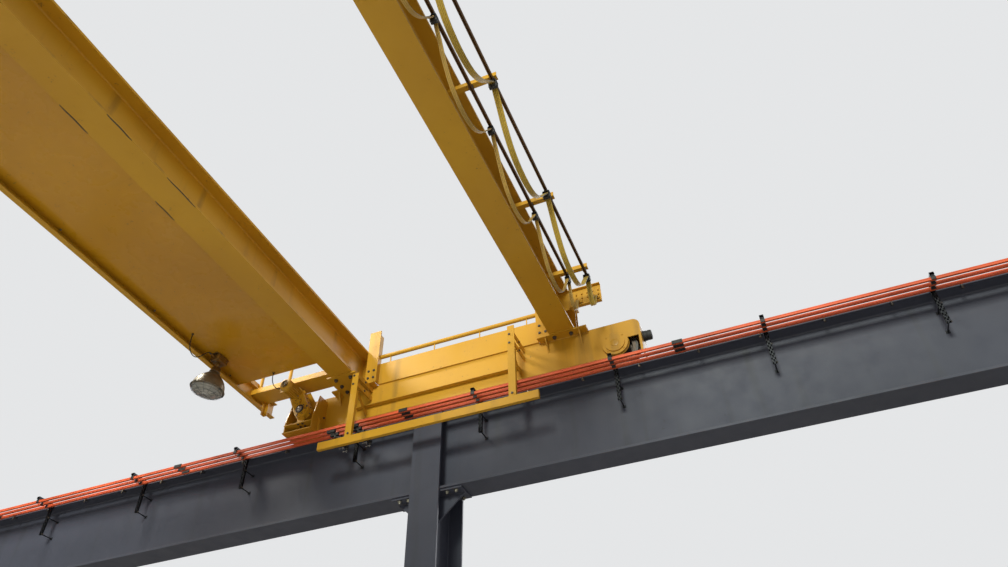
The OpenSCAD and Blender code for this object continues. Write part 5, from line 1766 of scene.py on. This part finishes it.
@dataclass
class Drives(Assembly):
    """Gearboxes and motors on their torque frames."""

    thick: float = 0.120
    box_r: float = 0.095
    motor_up: float = 0.255
    motor_side: float = 0.120
    motor_d: float = 0.150
    motor_length: float = 0.230
    grille_radii = (0.014, 0.022, 0.030, 0.038, 0.046)
    gland_in = (5.445, 2.062, 6.7703)
    gland_out = (5.250, 2.062, 6.8633)
    gland = ((0.0, 0.0085), (0.004, 0.0130), (0.012, 0.0130), (0.013, 0.0118), (0.015, 0.0118), (0.016, 0.0128),
             (0.019, 0.0128))

    def axle(self, x: float, y: float = 0.0, z: float = 0.0) -> Vector:
        """A point given by its x and by its place beside the driven axle."""
        return Vector((x, self.layout.axle_y + y, self.layout.axle_z + z))

    def outline_spots(self, grow: float, count: int) -> list[Vector]:
        """Points in the cross plane round the gearbox's outline, grown outwards.

        Args:
            grow: distance out from the outline.
            count: number of points, spaced evenly.

        Returns:
            The points, from the axle.
        """
        far = Vector((0, self.motor_side, self.motor_up))
        along = far.normalized()
        across = Vector((0, along.z, -along.y))
        angles = [math.pi * k / 8 for k in range(9)]
        near_r, far_r = self.box_r + grow, self.motor_d / 2 + 0.012 + grow
        path = [(across * math.cos(t) - along * math.sin(t)) * near_r for t in reversed(angles)]
        path += [far + (across * math.cos(t) + along * math.sin(t)) * far_r for t in angles]
        path.append(path[0])
        total = line_length(path)
        spots, walked, want = [], 0.0, 0.0
        for p, q in zip(path, path[1:]):
            step = (q - p).length
            while want < walked + step - 1e-9 and len(spots) < count:
                spots.append(p + (q - p) * ((want - walked) / step))
                want += total / count
            walked += step
        return spots

    def gearbox_bolts(self) -> None:
        """Bolts round the gearbox's split flange, plugs and breather."""
        made, middle = Solid(), self.axle(DRIVE_X + self.thick / 2 - 0.007)
        made.bolts_at([middle + spot for spot in self.outline_spots(0.0035, 14)], WEST, 0.009, 0.014)
        made.bolts_at(around(self.axle(DRIVE_X - 0.012), 0.066, 6, 0), WEST, 0.008)
        between = self.axle(DRIVE_X - 0.014, self.motor_side / 2, self.motor_up / 2)
        made.bolts_at(around(between, 0.036, 6, 0, 0.5), WEST, 0.006)
        face = DRIVE_X + 0.0005
        made.bolts_at([self.axle(face, -0.07, 0.035), self.axle(face, 0.045, -0.06)], WEST, 0.014)
        self.put("gearbox_bolts", made, DARK_BOLT, Slot.YELLOW, ends=True)

    def shaft_ends(self) -> None:
        """Dark seal ring with the bright end of the axle in it."""
        centre = self.axle(DRIVE_X - 0.036)
        ring, end, m = Solid(), Solid(), place(centre, X_AXIS)
        outline = ((0.0385, 0.0055), (0.054, 0.0055), (0.054, 0.0020), (0.0385, 0.0020))
        ring.skin([[m @ Vector((p.x * r, p.y * r, z)) for r, z in outline] for p in circle(1, 40)], loop=True)
        end.lathe(place(centre + Vector((0.0005, 0, 0)), WEST),
                  [(0.0, 0.034), (0.0006, 0.033), (0.0008, 0.012), (0.0004, 0.008), (0.0004, 0.0)], 36)
        end.bolt(centre, WEST, 0.012)
        self.put("shaft_seals", ring, BLACK_RUBBER, Slot.PLASTIC, ends=True)
        self.put("shaft_ends", end, TURNED, Slot.WHEEL, ends=True)

    def motors(self) -> None:
        """Fan grilles, flange bolts and lid screws of the motors."""
        tail, bits = DRIVE_X - self.motor_length, Solid()
        back, ring, flange = (self.axle(x, self.motor_side, self.motor_up) for x in
                              (tail, tail + 0.035, DRIVE_X - 0.018))
        m = place(back, WEST)
        grille = Solid().hoops(m, self.grille_radii, 0.0008, 0.0021, side=X_AXIS)
        grille.lathe(m, [(0.0, 0.010), (0.0012, 0.010), (0.0016, 0.006), (0.0016, 0.0)], 20)
        for spot in around(ring, self.motor_d / 2, 4, 0, 0.5):
            bits.bolt(spot, spot - ring, 0.005)
        bits.bolts_at(around(flange, 0.078, 4, 0, 0.5), WEST, 0.009)
        bits.bolts((tail + 0.094, tail + 0.176), (back.y - 0.036, back.y + 0.036),
                   [back.z + self.motor_d / 2 + 0.045], Z_AXIS, 0.005)
        self.put("fan_grilles", grille, BLACK_PAINT, Slot.BLACK, ends=True)
        self.put("motor_screws", bits, PLATED_BOLT, Slot.YELLOW, ends=True)

    def glands(self) -> None:
        """Ribbed black glands where the leads leave the walk plate and enter the motors."""
        made = Solid().lathe(place(self.gland_in, X_AXIS), self.gland).lathe(place(self.gland_out), self.gland)
        self.put("motor_glands", made, BLACK_NYLON, Slot.PLASTIC, ends=True)

    def frame_bolts(self) -> None:
        """Bolts and beads of the torque frames."""
        bolts, welds, middle = Solid(), Solid(), self.layout.axle_y
        low, table = self.layout.axle_z - 0.262, self.layout.axle_z - 0.165
        for side, inward in ((middle - 0.158, 1), (middle + 0.215, -1)):
            bolts.bolts([5.835], [side + inward * 0.012], (low + 0.09, low + 0.25), (0, inward, 0), 0.014, 0.012)
            y = side + inward * 0.0125
            welds.weld((DRIVE_X + 0.034, y, low + 0.0125), (5.866, y, low + 0.0125), 0.005)
        bolts.bolts((DRIVE_X + 0.0325, DRIVE_X + 0.0875), (middle - 0.03, middle + 0.03), [table], DOWN, 0.014)
        for x in (DRIVE_X + off for off in (0.020, 0.045, 0.075, 0.100)):
            welds.weld((x, middle - 0.044, table + 0.0125), (x, middle + 0.044, table + 0.0125), 0.005)
        self.put("torque_frame_bolts", bolts, DARK_BOLT, Slot.YELLOW, ends=True)
        self.put("torque_frame_welds", welds, YELLOW, Slot.YELLOW, ends=True)

    def build(self) -> None:
        """Dresses the drives."""
        dress(YELLOW, "drive_brackets", "gearboxes", "drive_motors")
        self.gearbox_bolts()
        self.shaft_ends()
        self.motors()
        self.glands()
        self.frame_bolts()


@dataclass
class Collectors(Assembly):
    """Hanging frame with the spring arms that run under the conductor bars."""

    frame_x: float = 5.545
    frame_z: float = 5.907
    tube_half: float = 0.045
    shoe_z: float = BAR_Z - BAR_HALF[1] - 0.005
    coil_r: float = 0.006
    coil_wire: float = 0.0013
    turns: int = 9
    plate_off: float = -0.031
    bolt_d: float = 0.014
    shoe_places = (1.000, 1.290)
    post_places = (-0.800, 1.110)
    cap = ((0.0, 0.015), (0.003, 0.017), (0.014, 0.017), (0.018, 0.011), (0.024, 0.011))

    def spring(self, a: Vector, b: Vector) -> list[Vector]:
        """Middle line of a coil spring from a to b.

        Args:
            a: middle of the lower end.
            b: middle of the upper end.

        Returns:
            The line's points.
        """
        m, long, steps = place(a, b - a), (b - a).length, 10
        count = self.turns * steps
        return [m @ Vector((self.coil_r * math.cos(t), self.coil_r * math.sin(t), long * n / count))
                for n, t in ((n, math.tau * n / steps) for n in range(count + 1))]

    def arms(self) -> None:
        """Coil springs, pivots and insulators of the arms, and their copper faced shoes."""
        coils, pins, blocks, shoes = Solid(), Solid(), Solid(), Solid()
        base, shoe = self.frame_z + self.tube_half + 0.044, self.shoe_z
        for x, y in product(BARS_X, self.shoe_places):
            foot, head = Vector((x + 0.011, y - 0.034, base - 0.006)), Vector((x + 0.011, y + 0.052, base + 0.075))
            coils.tube(self.spring(foot, head), disc(self.coil_wire, 5), Z_AXIS)
            for half, off, z in ((0.016, -0.014, base - 0.008), (0.013, 0.102, shoe - 0.028)):
                pins.rod((x - half, y + off, z), (x + half, y + off, z), 0.004, 12, 0.001)
            blocks.brick((x, y + 0.105, shoe - 0.020), (0.016, 0.051, 0.016), 0.004)
            for off in (0.058, 0.152):
                blocks.brick((x, y + off, shoe - 0.01375), (0.0125, 0.006, 0.01625), 0.002)
            blocks.brick((x, y - 0.0235, base - 0.014), (0.021, 0.0195, 0.017), 0.004)
            shoes.brick((x, y + 0.105, shoe + 0.00025), (0.0045, 0.042, 0.00225))
        self.put("arm_springs", coils, ZINC, Slot.STRUT)
        self.put("arm_pins", pins, PLATED_BOLT, Slot.STRUT)
        self.put("shoe_holders", blocks, BLACK_NYLON, Slot.PLASTIC)
        self.put("contact_shoes", shoes, COPPER, Slot.STRUT)

    def frame_bolts(self) -> None:
        """Bolts of the hanging frame and of the arms' plates."""
        made, size, face = Solid(), self.bolt_d, self.frame_x - 0.020
        heights = (self.layout.truck_top - 0.170, self.layout.truck_top - 0.054)
        for y in self.post_places:
            made.bolts([self.frame_x + 0.15], [y - 0.030], heights, SOUTH, size, 0.010)
            made.bolts([face], [y + 0.018], heights, WEST, size, 0.008)
            made.bolt((face, y, self.frame_z + 0.075), WEST, size, 0.008)
        made.bolts((self.frame_x - 0.012, self.frame_x + 0.012), [y + self.plate_off for y in self.shoe_places],
                   [self.frame_z + self.tube_half + 0.014], Z_AXIS, 0.010)
        self.put("collector_bolts", made, DARK_BOLT, Slot.YELLOW)

    def terminals(self) -> None:
        """Terminal studs with their lugs and insulators under the arms' plates."""
        studs, caps, low = Solid(), Solid(), self.frame_z + self.tube_half
        for x, end in product(BARS_X, self.shoe_places):
            y = end + self.plate_off
            caps.lathe(place((x, y, low + 0.002), DOWN), self.cap, 20)
            studs.bolt((x, y, low - 0.021), DOWN, 0.010)
            studs.rod((x, y, low - 0.026), (x, y, low - 0.044), 0.004, 10, 0.001)
            studs.brick((x, y + 0.0175, low - 0.025), (0.006, 0.0175, 0.0015))
            studs.rod((x, y + 0.033, low - 0.025), (x, y + 0.051, low - 0.025), 0.0042, 10, 0.001)
        self.put("terminal_caps", caps, BLACK_NYLON, Slot.PLASTIC)
        self.put("terminal_studs", studs, TURNED, Slot.STRUT)

    def build(self) -> None:
        """Dresses the collectors."""
        dress(YELLOW, "collector_frame")
        dress(BLACK_NYLON, "collectors")
        self.arms()
        self.frame_bolts()
        self.terminals()


@dataclass
class Festoon(Assembly):
    """Tracks, arms and carriers of the festoon."""

    track_low: float = 7.102
    track_top: float = 7.130
    strap_z: float = CABLE_Z + 0.0075
    wheel_off: float = 0.029
    arm_places = (-5.265, 4.200, 2.780, 1.360, -0.060, -1.480, -2.900, -4.320, 5.265)

    def straps(self) -> None:
        """Clamp straps, saddle bolts and buffers on each carrier."""
        straps, bolts = Solid(), Solid()
        for y, width, stops in zip(TRACK_Y, CABLE_WIDTHS, (INNER_STOPS, OUTER_STOPS)):
            wide = width / 2 + 0.003
            for x in stops:
                straps.brick((x, y, self.strap_z), (0.012, wide, 0.002))
                for s in SIDES:
                    straps.brick((x + s * self.wheel_off, y, self.track_low - 0.0105), (0.003, 0.016, 0.0045), 0.002)
                    bolts.bolts((x - 0.012, x + 0.012), [y + s * (wide + 0.005)], [CABLE_Z - 0.020], (0, s, 0), 0.006)
                bolts.bolt((x, y, self.track_low - 0.013), DOWN, 0.006)
        self.put("carrier_straps", straps, BLACK_NYLON, Slot.PLASTIC)
        self.put("carrier_bolts", bolts, PLATED_BOLT, Slot.STRUT)

    def track_fixings(self) -> None:
        """Hangers, splice sleeves and bolts of the tracks."""
        bolts, sleeves = Solid(), Solid()
        bolts.bolts([x + 0.005 for x in self.arm_places], TRACK_Y, [self.track_top + 0.008], Z_AXIS, 0.010)
        bolts.bolts([x + 0.010 for x in self.arm_places], [-self.layout.girder_y - 0.0165],
                    (self.track_top - 0.045, self.track_top - 0.018), SOUTH, 0.010)
        for x, y, s in product(self.arm_places, TRACK_Y, SIDES):
            sleeves.brick((x, y + s * 0.0165, self.track_low + 0.016), (0.020, 0.0024, 0.012))
        self.put("track_bolts", bolts, PLATED_BOLT, Slot.STRUT)
        self.put("track_hangers", sleeves, ZINC, Slot.STRUT)

    def clamps(self) -> None:
        """Clamp bolts at the ends of the cables."""
        made = Solid()
        for y, s in product(TRACK_Y, SIDES):
            made.bolt((CLAMP_X - 0.015, y + s * 0.034, CABLE_Z + 0.002), Z_AXIS, 0.007, 0.034)
            made.bolt((TOW_X - 0.007, y + s * 0.010, CABLE_Z + 0.020), Z_AXIS, 0.008)
        self.put("clamp_bolts", made, PLATED_BOLT, Slot.STRUT)

    def build(self) -> None:
        """Dresses the festoon."""
        dress(YELLOW, "festoon_arms", "festoon_end_clamp")
        dress(TRACK_BROWN, "festoon_tracks")
        dress(BLACK_NYLON, "festoon_carriers")
        self.straps()
        self.track_fixings()
        self.clamps()


@dataclass
class Hoist(Assembly):
    """Trolley with its drum, machinery, ropes, hook block and hook."""

    x: float = -2.500
    drum_z: float = 7.700
    drum_r: float = 0.160
    rope_d: float = 0.013
    rope_lay: float = 0.085
    strands: int = 6
    groove: float = 0.016
    block_z: float = 6.375
    frame_z: float = 7.450
    base: float = 1.200
    fins: int = 28
    cheek: float = 0.116
    falls = (-0.075, -0.025, 0.025, 0.075)
    wound = (0.118, 0.470)
    grille_radii = (0.020, 0.038, 0.056, 0.074, 0.092)
    cheek_bolts = ((-0.12, 0.05), (0.12, 0.05), (-0.055, -0.230), (0.055, -0.230))

    def ropes(self) -> None:
        """Falls of six strands laid round each other."""
        made, r, long = Solid(), self.rope_d / 2, self.drum_z - self.block_z
        strand, count = r * 0.36, int(long / self.rope_d)
        for y, k in product(self.falls, range(self.strands)):
            x = self.x + math.copysign(self.drum_r + r, y)
            line = []
            for n in range(count + 1):
                a = math.tau * (k / self.strands + long * n / count / self.rope_lay)
                line.append(Vector((x + (r - strand) * math.cos(a), y + (r - strand) * math.sin(a),
                                    self.block_z + long * n / count)))
            made.tube(line, disc(strand, 5), X_AXIS)
        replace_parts(self.put("stranded_ropes", made, ROPE_STEEL, Slot.ROPE), "hoist_ropes")

    def winding(self) -> None:
        """Rope wound in the grooves of both halves of the drum."""
        made, radius, steps = Solid(), self.drum_r + self.rope_d * 0.42, 28
        turns = int((self.wound[1] - self.wound[0]) / self.groove)
        for s in SIDES:
            line = [Vector((self.x + radius * math.cos(a), s * (self.wound[0] + self.groove * n / steps),
                            self.drum_z + radius * math.sin(a)))
                    for n, a in ((n, math.tau * n / steps) for n in range(turns * steps + 1))]
            made.tube(line, disc(self.rope_d / 2, 7), Y_AXIS)
        self.put("wound_rope", made, ROPE_STEEL, Slot.ROPE)

    def motor(self) -> None:
        """Fins, fan grille and terminal box of the hoist motor, and the flange and bolts of its gearbox."""
        made, bolts, x = Solid(), Solid(), self.x
        centre = Vector((x - 0.060, 0, self.drum_z + 0.040))
        for k in range(self.fins):
            turn = Matrix.Translation(centre) @ Matrix.Rotation(math.tau * k / self.fins, 4, "Y")
            made.block((-0.002, 0.840, 0.110), (0.002, 1.060, 0.136), 0.001, turn)
        tail, front = (place(centre + Vector((0, y, 0)), Y_AXIS) for y in (1.150, 0.800))
        made.hoops(tail, self.grille_radii, 0.001, 0.0035, 40, Y_AXIS)
        made.lathe(front, [(0, 0.148), (0.018, 0.148), (0.022, 0.142)], 40)
        made.block((x - 0.120, 0.860, 7.860), (x, 0.980, 7.925), 0.004)
        made.block((x - 0.126, 0.854, 7.925), (x + 0.006, 0.986, 7.932))
        made.block((x - 0.244, 0.707, 7.612), (x + 0.244, 0.723, 7.894), 0.003)
        bolts.bolts((centre.x - 0.050, centre.x + 0.050), (0.872, 0.968), [centre.z + 0.192], Z_AXIS, 0.007)
        bolts.bolts((x - 0.236, x + 0.236), [0.723], (7.640, 7.715, 7.790, 7.865), Y_AXIS, 0.007, 0.016)
        bolts.bolts([x + s * dx for s in SIDES for dx in (0.30, 0.42, 0.52)], [0.690], [self.frame_z + 0.220],
                    Z_AXIS, 0.018)
        bolts.bolts_at(around(centre + Vector((0, 0.822, 0)), 0.134, 8, 1, 0.5), Y_AXIS, 0.009)
        self.put("hoist_motor_fittings", made, HOIST_GREY, Slot.HOIST)
        self.put("hoist_bolts", bolts, DARK_BOLT, Slot.HOIST)

    def bearings(self) -> None:
        """Bearing housing and cap at the end of the drum, and the trolley's axle caps."""
        caps, bolts = Solid(), Solid()
        caps.lathe(place((self.x, -0.630, self.drum_z), SOUTH),
                   [(0, 0.110), (0.018, 0.110), (0.024, 0.100), (0.024, 0.062), (0.040, 0.056), (0.046, 0.0)], 40)
        bolts.bolts_at(around((self.x, -0.654, self.drum_z), 0.086, 6, 1), SOUTH, 0.014)
        z = self.frame_z - 0.030
        for s, t, u in product(SIDES, SIDES, SIDES):
            x, y = self.x + t * self.base / 2, s * self.layout.girder_y + u * 0.046
            caps.lathe(place((x, y, z), (0, u, 0)), [(0, 0.040), (0.006, 0.040), (0.010, 0.030), (0.010, 0)], 28)
            bolts.bolts((x - 0.036, x + 0.036), [y], [z + 0.034], (0, u, 0), 0.008)
        self.put("bearing_caps", caps, YELLOW, Slot.YELLOW)
        self.put("trolley_bolts", bolts, DARK_BOLT, Slot.YELLOW)

    def block(self) -> None:
        """Axle nuts, cheek bolts and trunnion of the hook block, and the latch of its hook."""
        made, latch, x = Solid(), Solid(), self.x
        foot = self.block_z - 0.512
        path = ((x - 0.055, foot + 0.128), (x + 0.020, foot + 0.105), (x + 0.094, foot + 0.058))
        for s in SIDES:
            m = place((x, s * self.cheek, self.block_z), (0, s, 0))
            made.lathe(m, [(0, 0.052), (0.004, 0.056), (0.018, 0.056), (0.022, 0.050)], 6)
            made.lathe(m, [(0.020, 0.030), (0.030, 0.030), (0.034, 0.024), (0.034, 0)])
            made.bolts_at([(x + dx, s * self.cheek, self.block_z + dz) for dx, dz in self.cheek_bolts],
                          (0, s, 0), 0.018)
            latch.wire([(px, s * 0.020 * (1 - 0.35 * k), pz) for k, (px, pz) in enumerate(path)], 0.0045, 8, 5)
        made.lathe(place((x, 0, self.block_z - 0.280), DOWN),
                   [(0, 0.056), (0.006, 0.060), (0.020, 0.060), (0.026, 0.052)], 32)
        for (px, pz), half, radius in ((path[0], 0.028, 0.006), (path[2], 0.008, 0.0055)):
            latch.rod((px, -half, pz), (px, half, pz), radius, 12, 0.001)
        self.put("block_fittings", made, DARK_BOLT, Slot.BLACK)
        self.put("hook_latch", latch, ZINC, Slot.STRUT)

    def build(self) -> None:
        """Dresses the trolley and the hoist."""
        dress(YELLOW, "trolley_frame")
        dress(HOIST_GREY, "hoist_machinery")
        dress(DRUM_STEEL, "hoist_drum")
        dress(BLACK_PAINT, "hook_block", "hook")
        self.ropes()
        self.winding()
        self.motor()
        self.bearings()
        self.block()


@dataclass
class WorkLights(Assembly):
    """High bay lights that hang askew under the edge of the walk."""

    pivot_z: float = 6.760
    drop: float = 0.318
    tilt: float = math.radians(10.0)
    rim_r: float = 0.188
    box_half: float = 0.078
    box_high: float = 0.085
    lead_out: float = LIGHT_X - 0.470
    guard_deep: float = 0.061
    guard_wire: float = 0.0016
    gland = ((0.0, 0.0085), (0.004, 0.0130), (0.010, 0.0130), (0.011, 0.0120), (0.013, 0.0128))
    flare = ((0.0, 0.014), (0.006, 0.0), (0.016, 0.0), (0.024, 0.008), (0.045, 0.010), (0.080, 0.019),
             (0.115, 0.036), (0.145, 0.058), (0.172, 0.084), (0.196, 0.109))
    neck = ((0.214, 0.062), (0.224, 0.056), (0.226, 0.060), (0.236, 0.061), (0.238, 0.055), (0.252, 0.050),
            (0.280, 0.038), (0.298, 0.034))
    facets = ((0.97, 0.012), (0.72, 0.003), (0.70, 0.012), (0.44, 0.003), (0.42, 0.012), (0.16, 0.002))
    bulb = ((0.0, 0.014), (0.006, 0.022), (0.018, 0.036), (0.030, 0.036), (0.040, 0.024), (0.045, 0.0))

    def axis(self, down: bool = False) -> Matrix:
        """Frame of the bell, with its origin in the lens and Z up to the pivot or down from it."""
        pivot = shift(LIGHT_X, LIGHT_Y, self.pivot_z) @ Matrix.Rotation(self.tilt, 4, "X")
        return pivot @ shift(0, 0, -self.drop) @ Matrix.Rotation(math.pi if down else 0.0, 4, "X")

    def housing(self) -> None:
        """Spun bell, ringed neck and hanger box, with the nipple that takes the lead."""
        made, low, half = Solid(), WALK_LOW - self.box_high, self.box_half
        made.lathe(self.axis(), [*((z, self.rim_r - inset) for z, inset in self.flare), *self.neck], 64)
        ball = [(-0.031 * math.cos(a), max(0.031 * math.sin(a), 0.0)) for a in (math.pi * k / 10 for k in range(11))]
        pivot = shift(LIGHT_X, LIGHT_Y, self.pivot_z)
        made.lathe(pivot, ball).lathe(pivot, [(0.0, 0.022), (low - self.pivot_z + 0.002, 0.022)])
        made.block((LIGHT_X - half, LIGHT_Y - 0.058, low), (LIGHT_X + half, LIGHT_Y + 0.057, WALK_LOW), 0.004)
        for s in SIDES:
            made.brick((LIGHT_X + s * (half + 0.010), LIGHT_Y, WALK_LOW - 0.0025), (0.0125, 0.046, 0.0025))
        nipple_z = WALK_LOW - 0.050
        made.rod((LIGHT_X - 0.160, LIGHT_Y, nipple_z), (LIGHT_X - half + 0.002, LIGHT_Y, nipple_z), 0.0105, 16, 0.001)
        made.rod((self.lead_out, LIGHT_Y, WALK_LOW - 0.015), (self.lead_out, LIGHT_Y, WALK_LOW), 0.012, 16)
        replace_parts(self.put("work_light_housings", made, ALUMINIUM, Slot.LIGHT, ends=True), "work_lights")

    def lens(self) -> None:
        """Facetted reflector and lamp behind a domed lens."""
        glass, mirror, lamp, m, r = Solid(), Solid(), Solid(), self.axis(True), self.rim_r - 0.016
        dome = [(0.003 + math.sin(a) * 0.052, math.cos(a) * r) for a in (math.pi / 2 * k / 12 for k in range(1, 12))]
        glass.lathe(m, [(-0.002, r), (0.003, r), *dome, (0.055, 0.0)], 56)
        rings = [circle(r * self.facets[0][0], 36, 0.0005)]
        for share, deep in self.facets:
            rings.append([Vector((p.x, p.y, deep + 0.0035 * (k % 2))) for k, p in enumerate(circle(r * share, 36))])
        mirror.skin(rings, m)
        lamp.lathe(m, self.bulb)
        self.put("light_lenses", glass, LENS, Slot.LIGHT, ends=True)
        self.put("light_reflectors", mirror, TURNED, Slot.LIGHT, ends=True)
        self.put("light_lamps", lamp, LAMP, Slot.LIGHT, ends=True)

    def guard(self) -> None:
        """Wire guard over the lens, with the clips that hold it to the rim."""
        guard, m, wide, deep, wire = Solid(), self.axis(True), self.rim_r - 0.006, self.guard_deep, self.guard_wire
        for k in range(6):
            a = math.pi * k / 6
            arc = [m @ Vector((wide * math.cos(t) * math.cos(a), wide * math.cos(t) * math.sin(a),
                               deep * math.sin(t))) for t in (math.pi * n / 14 for n in range(15))]
            guard.wire(arc, wire, 6)
            guard.block((wide - 0.006, -0.006, -0.004), (self.rim_r + 0.002, 0.006, 0.018), 0.001,
                        self.axis() @ Matrix.Rotation(math.tau * (k + 0.5) / 6, 4, "Z"))
        for share in (0.35, 0.68, 0.92):
            guard.hoops(m, [wide * share], deep * math.sqrt(1 - share * share), wire, 48)
        self.put("lens_guards", guard, ZINC, Slot.STRUT, ends=True)

    def bell(self) -> None:
        """Cooling ribs on the neck, bead of the rim, and lid and bolts of the ballast box."""
        ribs, bolts, half = Solid(), Solid(), self.box_half + 0.002
        for k in range(16):
            ribs.block((0.030, -0.0016, 0.240), (0.050, 0.0016, 0.284), 0.001,
                       self.axis() @ Matrix.Rotation(math.tau * k / 16, 4, "Z"))
        ribs.hoops(self.axis(), [self.rim_r + 0.0005], 0.011, 0.004, 64)
        ribs.block((LIGHT_X - half, LIGHT_Y - 0.060, WALK_LOW - 0.026),
                   (LIGHT_X + half, LIGHT_Y + 0.059, WALK_LOW - 0.020), 0.001)
        for s, edge in ((-1, 0.058), (1, 0.057)):
            bolts.bolts((LIGHT_X - 0.055, LIGHT_X + 0.055), [LIGHT_Y + s * edge], [WALK_LOW - 0.050], (0, s, 0), 0.006)
        bolts.bolts((LIGHT_X - 0.050, LIGHT_X + 0.050), [LIGHT_Y], [WALK_LOW - self.box_high], DOWN, 0.009)
        self.put("light_ribs", ribs, ALUMINIUM, Slot.LIGHT, ends=True)
        self.put("light_bolts", bolts, PLATED_BOLT, Slot.LIGHT, ends=True)

    def glands(self) -> None:
        """Glands where the leads leave the walk plate and enter the boxes."""
        made = Solid().lathe(place((LIGHT_X - 0.162, LIGHT_Y, WALK_LOW - 0.050), X_AXIS), self.gland)
        made.lathe(place((self.lead_out, LIGHT_Y, WALK_LOW - 0.017)), self.gland)
        self.put("light_glands", made, BLACK_NYLON, Slot.PLASTIC, ends=True)

    def build(self) -> None:
        """Dresses the lights."""
        self.housing()
        self.lens()
        self.guard()
        self.bell()
        self.glands()


def main() -> None:
    """Builds the studio and every sub-assembly in order."""
    logging.basicConfig(level=logging.INFO, format="%(name)s: %(message)s")
    layout = Layout.read()
    studio = Studio()
    studio.camera()
    Cords(layout).build()
    for kind in (Runway, ConductorLine, Girders, EndTrucks, EndTies, Footwalk, Drives, Collectors, Festoon,
                 Hoist, WorkLights):
        kind(layout).build()
    studio.build()


if __name__ == "__main__":
    main()
